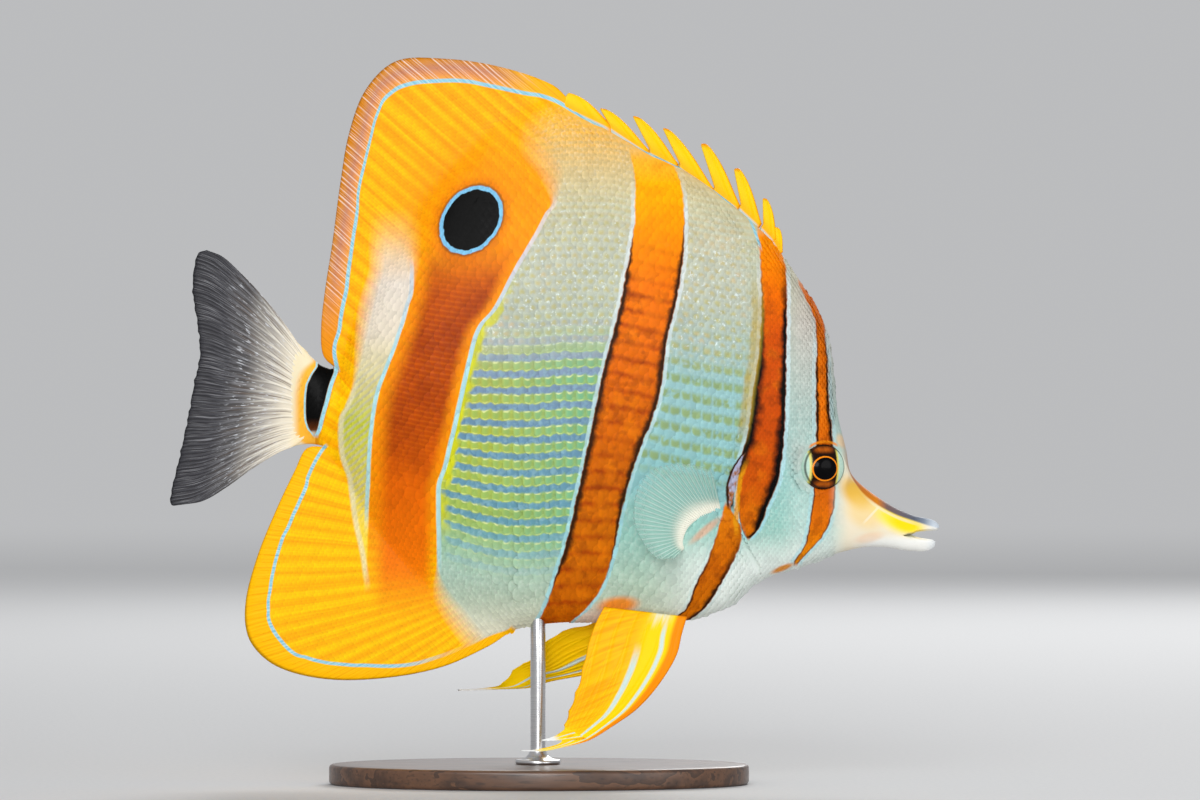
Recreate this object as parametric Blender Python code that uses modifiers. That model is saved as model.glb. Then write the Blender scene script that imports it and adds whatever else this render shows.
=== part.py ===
"""Copperband butterflyfish (Chelmon rostratus): a still, life-size model on a display stand.

The fish faces +X, its right side faces -Y, +Z is up, and the stand rests on Z = 0.
Sizes below are millimetres; meshes are made in metres.

The body, with its long fins, is one loft of ribs.  Each rib runs from the upper
margin of the fish to its lower margin and has a rounded section across Y.  The body
is then parted by thin cuts into head, gill covers, snout, jaws, trunk and fins.
"""
import math

import bmesh
import bpy
from mathutils import Euler, Vector
from mathutils.bvhtree import BVHTree

MM = 0.001
COLLECTION = "copperband_butterflyfish"

# ---------------------------------------------------------------- driving sizes (mm)
GAP = 0.3                 # parting gap between pieces that touch
FIN_EDGE_HALF = 0.3       # half thickness of a fin at its margin
FIN_ROOT_HALF = 0.8       # half thickness of a fin where it leaves the flesh
EDGE_STEP = 0.4           # from a margin to the first full-thickness row
RIDGE_INSET = 2.2         # rows that round off a back or belly without a fin
RIDGE_SHARE = 0.22        # the same rows where the body is low, as a share of its height
FLESH_ROWS = 8            # rows of the section between the backs of the two fins
FIN_HOLLOW = 0.45         # how much sharper the flesh tapers where a fin stands on it
CLOSE_RIBS = 4            # ribs in front of the fins that still get a ring between them
TAIL_MIDDLE_HALF = 0.36   # half thickness half way along the last span of the tail fin
OUTSIDE = 50.0            # a distance from the middle plane that is clear of the fish
CUT_HALF_DEPTH = 30.0     # cuts reach through the whole body
MOUTH_HALF_DEPTH = 10.0

EYE_PLACE = (53.9, 63.5)  # x, z of the eye's middle on the side of the head
EYE_SUNK = 0.8            # how deep the eye's widest circle lies under the skin
EYE_RADIUS = 4.6
EYE_HALF_DEPTH = 2.3
EYE_TURN = 24.0           # degrees by which the eyes look forwards
EYE_MERIDIANS = 20
EYE_CIRCLES = 8

STAND_CENTRE_X = -3.0
STAND_LENGTH = 84.0
STAND_WIDTH = 52.0
STAND_THICK = 4.0
STAND_EDGE = 0.8          # rounding of the base's edges
STAND_FACETS = 48
ROD_X = -3.2
ROD_RADIUS = 1.5
ROD_FOOT_RADIUS = 4.5
ROD_FOOT_RIM = 0.6        # upright rim of the foot
ROD_FOOT_STEP = 0.4       # flat step between the rim and the hollow curve
ROD_FOOT_CURVE = 2.4      # height of the hollow curve from the step to the rod
ROD_FOOT_SPANS = 5
ROD_TIP_EDGE = 0.5        # bevel at the upper end
ROD_FACETS = 20
ROD_TOP = 38.5            # the rod ends inside a socket in the belly
SOCKET_DEPTH = 20.0
SOCKET_FACETS = 24

# ------------------------------------------------------------------ ribs of the body
# Finned ribs, from the tail stalk forwards.  Each holds the fin's upper margin, the
# back of the flesh, the belly of the flesh, the fin's lower margin (x, z pairs), the
# half width of the flesh, and how much of a fin stands above and below (0 to 1).
FINNED_RIBS = [
    ((-42.4, 82.4), (-42.4, 81.8), (-45.2, 68.0), (-45.2, 67.4), 2.6, 0.0, 0.0),
    ((-46.0, 85.4), (-41.8, 84.4), (-44.2, 65.6), (-49.4, 67.2), 2.9, 1.0, 1.0),
    ((-46.6, 90.8), (-40.6, 87.8), (-42.8, 63.6), (-51.8, 62.8), 3.5, 1.0, 1.0),
    ((-45.8, 98.8), (-39.2, 92.4), (-40.8, 60.4), (-55.6, 54.8), 4.2, 1.0, 1.0),
    ((-44.4, 107.8), (-37.2, 97.2), (-38.2, 56.0), (-59.6, 44.8), 5.0, 1.0, 1.0),
    ((-42.8, 119.8), (-34.2, 103.2), (-34.8, 50.8), (-61.8, 35.4), 5.8, 1.0, 1.0),
    ((-41.0, 130.2), (-31.0, 108.6), (-31.2, 46.4), (-60.8, 28.6), 6.5, 1.0, 1.0),
    ((-37.6, 139.0), (-27.2, 114.8), (-27.6, 42.4), (-55.6, 23.6), 7.1, 1.0, 1.0),
    ((-31.6, 144.6), (-22.4, 122.0), (-23.6, 38.8), (-45.8, 21.0), 7.7, 1.0, 1.0),
    ((-22.4, 145.1), (-16.4, 128.6), (-18.8, 35.8), (-33.8, 21.2), 8.2, 1.0, 1.0),
    ((-11.4, 143.6), (-9.2, 134.2), (-13.8, 33.4), (-22.4, 23.4), 8.6, 1.0, 1.0),
    ((-0.2, 139.8), (-1.0, 134.4), (-8.6, 32.2), (-13.0, 27.6), 8.9, 0.7, 0.7),
    ((4.2, 135.5), (3.2, 132.4), (-6.0, 33.0), (-7.4, 31.0), 9.1, 0.3, 0.3),
]
# Ribs with no fin: back, belly, half width, and the exponent of the section, where
# 0.5 is an ellipse and less is blunter.
PLAIN_RIBS = [
    ((9.2, 132.0), (0.4, 32.0), 9.3, 0.55),
    ((17.2, 127.4), (9.6, 32.2), 9.5, 0.55),
    ((25.4, 123.4), (19.2, 32.2), 9.6, 0.55),
    ((32.8, 118.4), (27.4, 32.6), 9.6, 0.55),
    ((38.8, 113.4), (32.0, 34.0), 9.6, 0.53),
    ((43.2, 109.2), (36.4, 36.0), 9.5, 0.50),
    ((46.6, 104.6), (39.8, 39.4), 9.2, 0.47),
    ((49.8, 99.8), (42.6, 41.0), 8.8, 0.45),
    ((52.6, 95.4), (45.2, 42.1), 8.3, 0.42),
    ((55.0, 89.2), (47.4, 42.7), 7.7, 0.40),
    ((56.0, 81.8), (49.8, 43.5), 7.0, 0.38),
    ((56.8, 73.8), (52.6, 44.4), 6.3, 0.36),
    ((58.4, 67.0), (56.2, 45.9), 5.5, 0.37),
    ((59.4, 62.2), (59.8, 46.9), 4.7, 0.42),
    ((62.8, 58.8), (63.2, 47.4), 3.7, 0.48),
    ((67.6, 55.6), (67.4, 47.2), 3.0, 0.50),
    ((72.2, 53.6), (71.4, 46.6), 2.5, 0.50),
    ((75.6, 52.7), (74.2, 46.5), 2.0, 0.50),
    ((77.1, 51.2), (76.2, 47.8), 0.9, 0.50),
]
# Ribs of the tail, from the tail stalk backwards to the end of the tail fin: upper
# margin, lower margin, half width of the flesh, fin share, half thickness of the fin.
TAIL_RIBS = [
    ((-42.4, 82.4), (-45.2, 67.4), 2.8, 0.0, 0.8),
    ((-44.6, 83.0), (-46.6, 67.7), 2.6, 0.0, 0.8),
    ((-47.0, 84.0), (-48.6, 68.0), 2.2, 0.2, 0.8),
    ((-50.2, 87.4), (-51.0, 67.6), 1.5, 0.8, 0.7),
    ((-54.4, 92.8), (-55.2, 66.2), 0.9, 1.0, 0.6),
    ((-58.8, 98.2), (-60.4, 63.0), 0.5, 1.0, 0.5),
    ((-62.8, 102.2), (-65.4, 59.4), 0.3, 1.0, 0.45),
    ((-66.8, 105.4), (-70.2, 56.6), 0.15, 1.0, 0.4),
]
# Hind edge of the tail fin, from its upper to its lower tip.
TAIL_EDGE = [(-70.4, 106.8), (-72.0, 103.2), (-72.4, 98.4), (-71.4, 91.6), (-71.0, 85.6),
             (-72.0, 80.8), (-73.2, 74.2), (-75.0, 65.6), (-76.8, 57.8), (-76.6, 55.8),
             (-74.8, 55.8)]

# ------------------------------------------------------- cuts that part the body
# Each cut is a line in the X-Z plane that runs from outside the solid to outside it.
BACK_CUT = [(-44.4, 81.9), (-42.2, 82.6), (-41.2, 85.2), (-40.0, 88.2), (-38.6, 92.8),
            (-36.6, 97.6), (-33.6, 103.6), (-30.4, 109.0), (-26.6, 115.2), (-21.8, 122.2),
            (-15.8, 128.4), (-9.0, 132.8), (-2.6, 134.0), (0.6, 134.8), (1.2, 141.0)]
BELLY_CUT = [(-47.6, 68.2), (-45.0, 67.3), (-43.6, 65.0), (-42.0, 62.8), (-40.0, 59.6),
             (-37.4, 55.2), (-34.0, 50.0), (-30.4, 45.6), (-26.8, 41.6), (-22.8, 38.0),
             (-18.0, 35.2), (-13.0, 33.2), (-9.0, 32.0), (-9.4, 28.6)]
NECK_CUT = [(46.6, 109.0), (44.8, 105.0), (43.4, 96.0), (42.4, 86.0), (41.2, 76.0),
            (38.4, 66.0), (35.6, 59.0), (36.6, 53.4), (39.2, 47.6), (42.6, 40.6),
            (43.6, 38.0)]
CHEEK_CUT = [(40.9, 76.4), (43.4, 75.2), (46.0, 70.6), (47.2, 62.6), (46.6, 52.6),
             (44.6, 43.0), (43.8, 39.4)]
SNOUT_CUT = [(57.6, 66.6), (60.4, 61.6), (58.6, 53.0), (56.6, 47.6), (56.0, 44.0)]
JAW_CUT = [(69.6, 58.0), (69.8, 50.0), (69.6, 44.0)]
TAIL_CUT = [(-46.8, 87.0), (-48.6, 83.0), (-49.6, 76.0), (-49.4, 70.0), (-49.0, 65.0)]
# The open mouth, from past the tips of the jaws to its corner, and on as a thin cut.
GAPE = [(69.75, 49.85), (72.5, 49.95), (73.2, 50.35), (75.4, 50.5), (76.8, 50.85), (79.0, 51.2),
        (79.0, 48.2), (76.0, 48.6), (73.2, 49.25), (72.5, 49.65), (69.75, 49.55)]

# How the body is parted, one cut after another: the piece that is cut, the line of the
# cut, and the two pieces it makes, each with a point inside it (x, z) and the side from
# which that point is seen.
PARTINGS = [
    ("body", BACK_CUT, ("dorsal_fin_soft", -30.0, 135.0, -1), ("lower_body", 0.0, 80.0, -1)),
    ("lower_body", BELLY_CUT, ("anal_fin", -50.0, 35.0, -1), ("middle", 0.0, 80.0, -1)),
    ("middle", NECK_CUT, ("trunk", 0.0, 80.0, -1), ("whole_head", 50.0, 85.0, -1)),
    ("whole_head", CHEEK_CUT, ("gill_covers", 42.5, 55.0, -1), ("face", 50.0, 85.0, -1)),
    ("face", SNOUT_CUT, ("head", 50.0, 85.0, -1), ("whole_snout", 64.0, 53.0, -1)),
    ("whole_snout", JAW_CUT, ("snout", 64.0, 53.0, -1), ("jaws", 71.5, 51.5, -1)),
]
JAW_PROBES = (("upper_jaw", 71.5, 51.5, -1), ("lower_jaw", 71.5, 48.0, -1))
GILL_PROBES = (("gill_cover_right", 42.5, 55.0, -1), ("gill_cover_left", 42.5, 55.0, 1))
TAIL_PROBES = (("tail_stalk", -46.0, 75.0, -1), ("caudal_fin", -62.0, 80.0, -1))

# ------------------------------------------------------------------------- small fins
# Spines of the front dorsal fin: tip of each blade and the notch in front of it.
SPINES = [((2.8, 138.6), (9.2, 134.4)), ((9.2, 135.5), (17.9, 129.2)),
          ((15.6, 133.8), (22.8, 128.2)), ((21.6, 131.2), (31.8, 120.4)),
          ((29.2, 127.9), (37.2, 116.6)), ((36.1, 123.1), (41.8, 112.2)),
          ((42.0, 117.1), (44.3, 111.0)), ((44.8, 111.3), (45.7, 106.6))]
SPINE_BULGE = 0.75        # how far a blade's front edge curves out
SPINE_BULGE_SHARE = 0.12  # the same on a short blade, as a share of its length
SPINE_SHOULDER = 0.14     # where the tip has rounded into the front edge, as such a share
SHOULDER_BULGE = 0.9      # the bulge there, as a share of the full bulge
SPINE_PLATE_HALF = 0.55
SPINE_FOOT = [(44.0, 104.0), (38.0, 110.0), (31.0, 116.0), (24.0, 120.6), (16.0, 125.0),
              (8.0, 129.0), (1.6, 132.6), (1.7, 138.1)]

# Pelvic fins: chords from the leading to the trailing edge (x, z pairs), with the
# distance out from the middle plane and the half thickness.
PELVIC_RIGHT = [
    ((26.6, 33.6), (10.0, 35.6), 3.4, 5.0, 0.55),
    ((25.6, 30.4), (8.0, 31.6), 4.2, 5.4, 0.50),
    ((24.4, 25.8), (6.4, 26.6), 5.4, 6.0, 0.45),
    ((20.8, 20.0), (4.7, 20.2), 7.0, 7.0, 0.42),
    ((16.6, 15.4), (3.1, 15.6), 8.2, 8.0, 0.40),
    ((11.6, 11.9), (2.0, 12.0), 9.2, 8.8, 0.38),
    ((6.2, 8.9), (-0.4, 9.8), 10.0, 9.6, 0.36),
    ((1.0, 7.7), (-2.4, 8.7), 10.5, 10.3, 0.33),
    ((-3.6, 7.0), (-5.0, 7.35), 10.9, 10.8, 0.28),
    ((-6.6, 7.2), (-6.7, 7.3), 11.1, 11.1, 0.20),
]
PELVIC_LEFT = [
    ((26.6, 33.6), (10.0, 35.6), 3.4, 5.0, 0.55),
    ((24.0, 29.0), (7.6, 32.0), 4.4, 5.4, 0.50),
    ((17.2, 24.4), (2.6, 30.8), 6.4, 6.0, 0.45),
    ((10.0, 22.0), (-1.8, 28.2), 8.4, 7.4, 0.42),
    ((4.2, 21.0), (-5.0, 24.6), 9.8, 9.0, 0.40),
    ((-0.8, 20.0), (-8.0, 22.8), 11.0, 10.4, 0.37),
    ((-5.2, 18.7), (-10.8, 19.6), 12.0, 11.8, 0.34),
    ((-11.0, 18.4), (-13.2, 18.8), 12.8, 12.7, 0.30),
    ((-19.4, 18.1), (-19.6, 18.3), 13.4, 13.4, 0.20),
]
# Pectoral fins: root and outer edge, from the upper to the lower side.
PECTORAL_ROOT = [(33.2, 55.2), (31.4, 51.6), (28.6, 48.4)]
PECTORAL_EDGE = [(31.6, 62.6), (27.0, 64.0), (20.4, 63.2), (17.0, 59.6), (16.0, 54.0),
                 (17.2, 49.6), (20.4, 45.6), (25.0, 45.4)]
PECTORAL_FLARE = 8.0      # how far the fin's edge stands out from its root
PECTORAL_SUNK = 0.9       # the root starts under the skin and is trimmed by it
PECTORAL_ROOT_HALF = 0.6
PECTORAL_EDGE_HALF = 0.28
PECTORAL_THINNING = 0.5   # power by which the blade thins from its root outwards
PECTORAL_CURL = 1.1       # power by which it leaves the flank


# ------------------------------------------------------------------ scene and helpers
def clear_scene():
    for item in list(bpy.data.objects):
        bpy.data.objects.remove(item, do_unlink=True)


def new_collection(name, hidden=False):
    collection = bpy.data.collections.new(name)
    bpy.context.scene.collection.children.link(collection)
    collection.hide_render = hidden
    return collection


def new_material(name, colour, roughness, metallic=0.0):
    material = bpy.data.materials.new(name)
    material.use_nodes = True
    shader = material.node_tree.nodes["Principled BSDF"]
    shader.inputs["Base Color"].default_value = (*colour, 1.0)
    shader.inputs["Roughness"].default_value = roughness
    shader.inputs["Metallic"].default_value = metallic
    material.diffuse_color = (*colour, 1.0)
    return material


def mesh_object(name, mesh, collection, material=None):
    item = bpy.data.objects.new(name, mesh)
    collection.objects.link(item)
    mesh.materials.clear()
    if material:
        mesh.materials.append(material)
    mesh.shade_smooth()
    return item


def evaluated_mesh(item):
    """The mesh of an object with its modifiers applied."""
    graph = bpy.context.evaluated_depsgraph_get()
    return bpy.data.meshes.new_from_object(item.evaluated_get(graph))


def smooth_path(points, steps):
    """Points on a smooth curve through the given ones, any number of axes each."""
    rows = [Vector(point) for point in points]
    last = len(rows) - 1
    spans = [max((rows[i + 1] - rows[i]).length, 1e-6) for i in range(last)]
    slopes = [rows[1] - rows[0]]
    for i in range(1, last):
        slopes.append((rows[i + 1] - rows[i - 1]) / (spans[i] + spans[i - 1]))
    slopes.append(rows[last] - rows[last - 1])
    slopes[0] = slopes[0] / spans[0]
    slopes[last] = slopes[last] / spans[-1]
    path = []
    for i in range(last):
        for step in range(steps):
            t = step / steps
            path.append((2 * t ** 3 - 3 * t ** 2 + 1) * rows[i]
                        + (t ** 3 - 2 * t ** 2 + t) * spans[i] * slopes[i]
                        + (3 * t ** 2 - 2 * t ** 3) * rows[i + 1]
                        + (t ** 3 - t ** 2) * spans[i] * slopes[i + 1])
    path.append(rows[last])
    return path


def point_along(path, fraction):
    """The point of a smooth path at a fraction (0 to 1) of its count of spans."""
    place = fraction * (len(path) - 1)
    index = min(int(place), len(path) - 2)
    return path[index].lerp(path[index + 1], place - index)


def loft(name, rings):
    """A closed mesh through rings of equal count.

    Each ring starts at its upper edge, runs down the right side, passes the lower edge
    and comes back up the left side, so that its ends are closed by strips across Y.
    """
    count = len(rings[0])
    half = count // 2
    build = bmesh.new()
    verts = [[build.verts.new(Vector(point) * MM) for point in ring] for ring in rings]
    for near, far in zip(verts, verts[1:]):
        for i in range(count):
            j = (i + 1) % count
            build.faces.new((near[i], near[j], far[j], far[i]))
    for ring in (verts[0], verts[-1]):
        for i in range(half):
            corners = [ring[i], ring[i + 1], ring[(count - i - 1) % count], ring[(count - i) % count]]
            unique = list(dict.fromkeys(corners))
            build.faces.new(unique)
    bmesh.ops.recalc_face_normals(build, faces=build.faces)
    mesh = bpy.data.meshes.new(name)
    build.to_mesh(mesh)
    build.free()
    return mesh


def ring_through(points, half_widths):
    """Right side down, left side up, through points that all lie in the plane Y = 0."""
    right = [(p.x, -w, p.y) for p, w in zip(points, half_widths)]
    left = [(p.x, w, p.y) for p, w in zip(points[1:-1], half_widths[1:-1])]
    return right + left[::-1]


# ------------------------------------------------------------------------- the body
def rib_ring(top, back, belly, low, width, blunt, fin_up, fin_low, root):
    """One ring of the body: flesh with a rounded section, and thin fins beyond it."""
    marks = [0.0, (back - top).length]
    marks.append(marks[1] + (belly - back).length)
    marks.append(marks[2] + (low - belly).length)
    corners = [top, back, belly, low]

    def place(distance):
        for i in range(3):
            if distance <= marks[i + 1] or i == 2:
                share = (distance - marks[i]) / max(marks[i + 1] - marks[i], 1e-6)
                return corners[i].lerp(corners[i + 1], min(share, 1.0))

    upper = marks[1]
    lower = marks[3] - marks[2]
    step_up = min(EDGE_STEP, upper / 3)
    step_low = min(EDGE_STEP, lower / 3)
    rows = [0.0, step_up, (step_up + upper) / 2]
    for k in range(FLESH_ROWS + 1):
        share = 0.5 - 0.5 * math.cos(math.pi * k / FLESH_ROWS)
        rows.append(marks[1] + share * (marks[2] - marks[1]))
    rows += [marks[3] - (step_low + lower) / 2, marks[3] - step_low, marks[3]]

    flesh_top = upper * fin_up
    flesh_low = marks[3] - lower * fin_low
    centre = 0.5 * (flesh_top + flesh_low)
    reach = 0.5 * (flesh_low - flesh_top)
    halves = []
    for distance in rows:
        t = (distance - centre) / reach
        fin = fin_up if t < 0 else fin_low
        power = blunt + FIN_HOLLOW * fin
        flesh = width * max(1.0 - t * t, 0.0) ** power
        if t < 0:
            out = min(distance / max(upper, 1e-6), 1.0)
        else:
            out = min((marks[3] - distance) / max(lower, 1e-6), 1.0)
        plate = (FIN_EDGE_HALF + (root - FIN_EDGE_HALF) * out) * fin
        halves.append(math.hypot(flesh, plate))
    halves[0] = 0.0
    halves[-1] = 0.0
    return ring_through([place(distance) for distance in rows], halves)


def rings_from_ribs(ribs, steps):
    """Rings between ribs of (top, back, belly, low, width, blunt, fin_up, fin_low, root)."""
    outlines = [smooth_path([rib[k] for rib in ribs], steps) for k in range(4)]
    sizes = smooth_path([rib[4:] for rib in ribs], steps)
    rings = []
    for top, back, belly, low, size in zip(*outlines, sizes):
        rings.append(rib_ring(top, back, belly, low, size[0], size[1], max(min(size[2], 1.0), 0.0),
                              max(min(size[3], 1.0), 0.0), size[4]))
    return rings


def inset_rib(top, low, width, blunt, fin=0.0, root=FIN_ROOT_HALF):
    """A rib without separate fins: the back and belly rows lie a little way in."""
    top, low = Vector(top), Vector(low)
    inset = min(RIDGE_INSET, RIDGE_SHARE * (low - top).length)
    way = (low - top).normalized() * inset
    return (top, top + way, low - way, low, width, blunt, fin, fin, root)


def body_ribs():
    ribs = []
    for top, back, belly, low, width, fin_up, fin_low in FINNED_RIBS:
        ribs.append((top, back, belly, low, width, 0.5, fin_up, fin_low, FIN_ROOT_HALF))
    for top, low, width, blunt in PLAIN_RIBS:
        ribs.append(inset_rib(top, low, width, blunt))
    return ribs


def tail_rings():
    """The tail stalk and tail fin; the last ring follows the fin's curved hind edge."""
    ribs = [inset_rib(top, low, width, 0.5, fin, root)
            for top, low, width, fin, root in TAIL_RIBS]
    rings = rings_from_ribs(ribs, 1)
    edge = smooth_path(TAIL_EDGE, 4)
    count = len(rings[0]) // 2 + 1
    stretch = [point_along(edge, i / (count - 1)) for i in range(count)]
    before = rings[-1]
    for share, half in ((0.5, TAIL_MIDDLE_HALF), (1.0, FIN_EDGE_HALF)):
        points = [Vector((before[i][0], before[i][2])).lerp(stretch[i], share) for i in range(count)]
        halves = [0.0] + [half] * (count - 2) + [0.0]
        rings.append(ring_through(points, halves))
    return rings


def shifted(rings, distance):
    """Moves the first ring along X, so that two lofts part by a gap."""
    first = [(x + distance, y, z) for x, y, z in rings[0]]
    return [first] + rings[1:]


# ----------------------------------------------------------------------------- cutters
def outline_prism(name, points, half_depth, cutters):
    """A flat outline in the X-Z plane, filled and extruded to both sides of Y = 0."""
    curve = bpy.data.curves.new(name, "CURVE")
    curve.dimensions = "2D"
    curve.fill_mode = "BOTH"
    curve.extrude = half_depth * MM
    spline = curve.splines.new("POLY")
    spline.points.add(len(points) - 1)
    for spot, point in zip(spline.points, points):
        spot.co = (point[0] * MM, point[1] * MM, 0.0, 1.0)
    spline.use_cyclic_u = True
    shape = bpy.data.objects.new(name + "_curve", curve)
    cutters.objects.link(shape)
    shape.rotation_euler = (math.pi / 2, 0.0, 0.0)
    bpy.context.view_layer.update()
    mesh = evaluated_mesh(shape)
    mesh.transform(shape.matrix_world)
    bpy.data.objects.remove(shape, do_unlink=True)
    build = bmesh.new()
    build.from_mesh(mesh)
    bmesh.ops.remove_doubles(build, verts=build.verts, dist=1e-6)
    bmesh.ops.recalc_face_normals(build, faces=build.faces)
    build.to_mesh(mesh)
    build.free()
    return mesh


def offset_line(line, distance):
    """A line moved sideways by a distance, with mitred corners."""
    moved = []
    for i, point in enumerate(line):
        before = (point - line[i - 1]).normalized() if i else None
        after = (line[i + 1] - point).normalized() if i < len(line) - 1 else None
        way = ((before or after) + (after or before)).normalized()
        side = Vector((-way.y, way.x))
        grow = 1.0 / max(side.dot(Vector((-(after or before).y, (after or before).x))), 0.5)
        moved.append(point + side * distance * grow)
    return moved


def cut_slab(name, points, cutters):
    """A slab GAP thick that follows a smooth line and runs right through the fish."""
    line = smooth_path(points, 3)
    outline = offset_line(line, GAP / 2) + offset_line(line, -GAP / 2)[::-1]
    return cutter_object(name, outline_prism(name, outline, CUT_HALF_DEPTH, cutters), cutters)


def cutter_object(name, mesh, cutters):
    item = mesh_object(name, mesh, cutters)
    item.display_type = "WIRE"
    item.hide_render = True
    return item


def take_away(item, cutter):
    """Takes a cutter out of a mesh object with an exact Boolean."""
    modifier = item.modifiers.new("cut", "BOOLEAN")
    modifier.operation = "DIFFERENCE"
    modifier.solver = "EXACT"
    modifier.object = cutter
    bpy.context.view_layer.update()
    mesh = evaluated_mesh(item)
    item.modifiers.clear()
    old = item.data
    item.data = mesh
    bpy.data.meshes.remove(old)


def grown_copy(item, name, cutters):
    """A copy of a solid, swollen by GAP, to trim what is joined to it."""
    build = bmesh.new()
    build.from_mesh(item.data)
    build.normal_update()
    moved = [vert.co + vert.normal * GAP * MM for vert in build.verts]
    for vert, place in zip(build.verts, moved):
        vert.co = place
    mesh = bpy.data.meshes.new(name)
    build.to_mesh(mesh)
    build.free()
    return cutter_object(name, mesh, cutters)


def islands(build):
    """Lists of faces that hang together."""
    build.faces.ensure_lookup_table()
    label = {}
    groups = []
    for face in build.faces:
        if face in label:
            continue
        group = [face]
        label[face] = len(groups)
        for known in group:
            for edge in known.edges:
                for other in edge.link_faces:
                    if other not in label:
                        label[other] = len(groups)
                        group.append(other)
        groups.append(group)
    return groups, label


def divide(item, cutter, probes, materials, collection):
    """Cuts a solid in two and makes an object of each half, the one its probe sees."""
    take_away(item, cutter)
    build = bmesh.new()
    build.from_mesh(item.data)
    groups, label = islands(build)
    tree = BVHTree.FromBMesh(build)
    pieces = []
    for name, x, z, side in probes:
        start = Vector((x, side * OUTSIDE, z)) * MM
        index = tree.ray_cast(start, Vector((0.0, -side, 0.0)))[2]
        numbers = {face.index for face in groups[label[build.faces[index]]]}
        piece = build.copy()
        piece.faces.ensure_lookup_table()
        drop = [face for face in piece.faces if face.index not in numbers]
        bmesh.ops.delete(piece, geom=drop, context="FACES")
        mesh = bpy.data.meshes.new(name)
        piece.to_mesh(mesh)
        piece.free()
        pieces.append(mesh_object(name, mesh, collection, materials.get(name)))
    build.free()
    bpy.data.objects.remove(item, do_unlink=True)
    return pieces


# ---------------------------------------------------------------------- paired pieces
def ellipsoid(name, centre, radius, half_depth, turn):
    """A sphere flattened along Y, with its poles at the sides, turned about Z."""
    build = bmesh.new()
    bmesh.ops.create_uvsphere(build, u_segments=EYE_MERIDIANS, v_segments=EYE_CIRCLES, radius=1.0)
    for vert in build.verts:
        x, y, z = vert.co
        flat = Vector((x * radius, -z * half_depth, y * radius))
        flat.rotate(Euler((0.0, 0.0, turn)))
        vert.co = (flat + Vector(centre)) * MM
    mesh = bpy.data.meshes.new(name)
    build.to_mesh(mesh)
    build.free()
    return mesh


def eye_mesh(name, side, skin_out, extra=0.0):
    """An eye, or with extra its socket, sunk a little below the skin and turned forwards."""
    turn = math.radians(EYE_TURN)
    centre = (EYE_PLACE[0] - math.sin(turn) * EYE_SUNK,
              side * (skin_out - math.cos(turn) * EYE_SUNK), EYE_PLACE[1])
    return ellipsoid(name, centre, EYE_RADIUS + extra, EYE_HALF_DEPTH + extra, -side * turn)


def pelvic_mesh(name, chords, side, across=6):
    """A thin blade through chords, flared away from the middle plane."""
    rings = []
    for front, back, out_front, out_back, half in chords:
        front, back = Vector(front), Vector(back)
        outer = []
        inner = []
        for i in range(across + 1):
            share = i / across
            point = front.lerp(back, share)
            out = out_front + (out_back - out_front) * share
            thick = half * (1.0 if 0 < i < across else 0.0)
            outer.append((point.x, side * (out + thick), point.y))
            inner.append((point.x, side * (out - thick), point.y))
        rings.append(outer + inner[1:-1][::-1])
    return loft(name, rings)


def pectoral_mesh(name, side, grown, across=8, along=5):
    """A fan from the fleshy root to the rounded outer edge, flared off the flank."""
    root = smooth_path(PECTORAL_ROOT, 6)
    edge = smooth_path(PECTORAL_EDGE, 4)
    root_out = [flank_at(grown, *point_along(root, i / across)) for i in range(across + 1)]
    rings = []
    for k in range(along + 1):
        reach = k / along
        thinner = reach ** PECTORAL_THINNING
        half = PECTORAL_ROOT_HALF + (PECTORAL_EDGE_HALF - PECTORAL_ROOT_HALF) * thinner
        outer = []
        inner = []
        for i in range(across + 1):
            share = i / across
            out = root_out[i] - PECTORAL_SUNK + PECTORAL_FLARE * reach ** PECTORAL_CURL
            point = point_along(root, share).lerp(point_along(edge, share), reach)
            thick = half * (1.0 if 0 < i < across else 0.0)
            outer.append((point.x, side * (out + thick), point.y))
            inner.append((point.x, side * (out - thick), point.y))
        rings.append(outer + inner[1:-1][::-1])
    return loft(name, rings)


def spine_outline():
    """The saw-toothed outline of the front dorsal fin, over a foot inside the back."""
    outline = [Vector(point) for point in SPINE_FOOT]
    for tip, notch in SPINES:
        tip, notch = Vector(tip), Vector(notch)
        way = notch - tip
        out = Vector((-way.y, way.x)).normalized()
        bulge = min(SPINE_BULGE, SPINE_BULGE_SHARE * way.length)
        outline.append(tip)
        outline.append(tip + way * SPINE_SHOULDER + out * bulge * SHOULDER_BULGE)
        outline.append(tip + way / 2 + out * bulge)
        outline.append(notch)
    return outline


# ----------------------------------------------------------------------------- stand
def stand_base_mesh():
    """An oval plate with rounded edges, standing on Z = 0."""
    build = bmesh.new()
    bmesh.ops.create_cone(build, cap_ends=True, segments=STAND_FACETS, radius1=1.0, radius2=1.0,
                          depth=1.0)
    for vert in build.verts:
        vert.co.x = (vert.co.x * STAND_LENGTH / 2 + STAND_CENTRE_X) * MM
        vert.co.y = vert.co.y * STAND_WIDTH / 2 * MM
        vert.co.z = (vert.co.z + 0.5) * STAND_THICK * MM
    rims = [edge for edge in build.edges if abs(edge.verts[0].co.z - edge.verts[1].co.z) < 1e-7]
    bmesh.ops.bevel(build, geom=rims, offset=STAND_EDGE * MM, segments=2, affect="EDGES", profile=0.5)
    mesh = bpy.data.meshes.new("stand_base")
    build.to_mesh(mesh)
    build.free()
    return mesh


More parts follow.
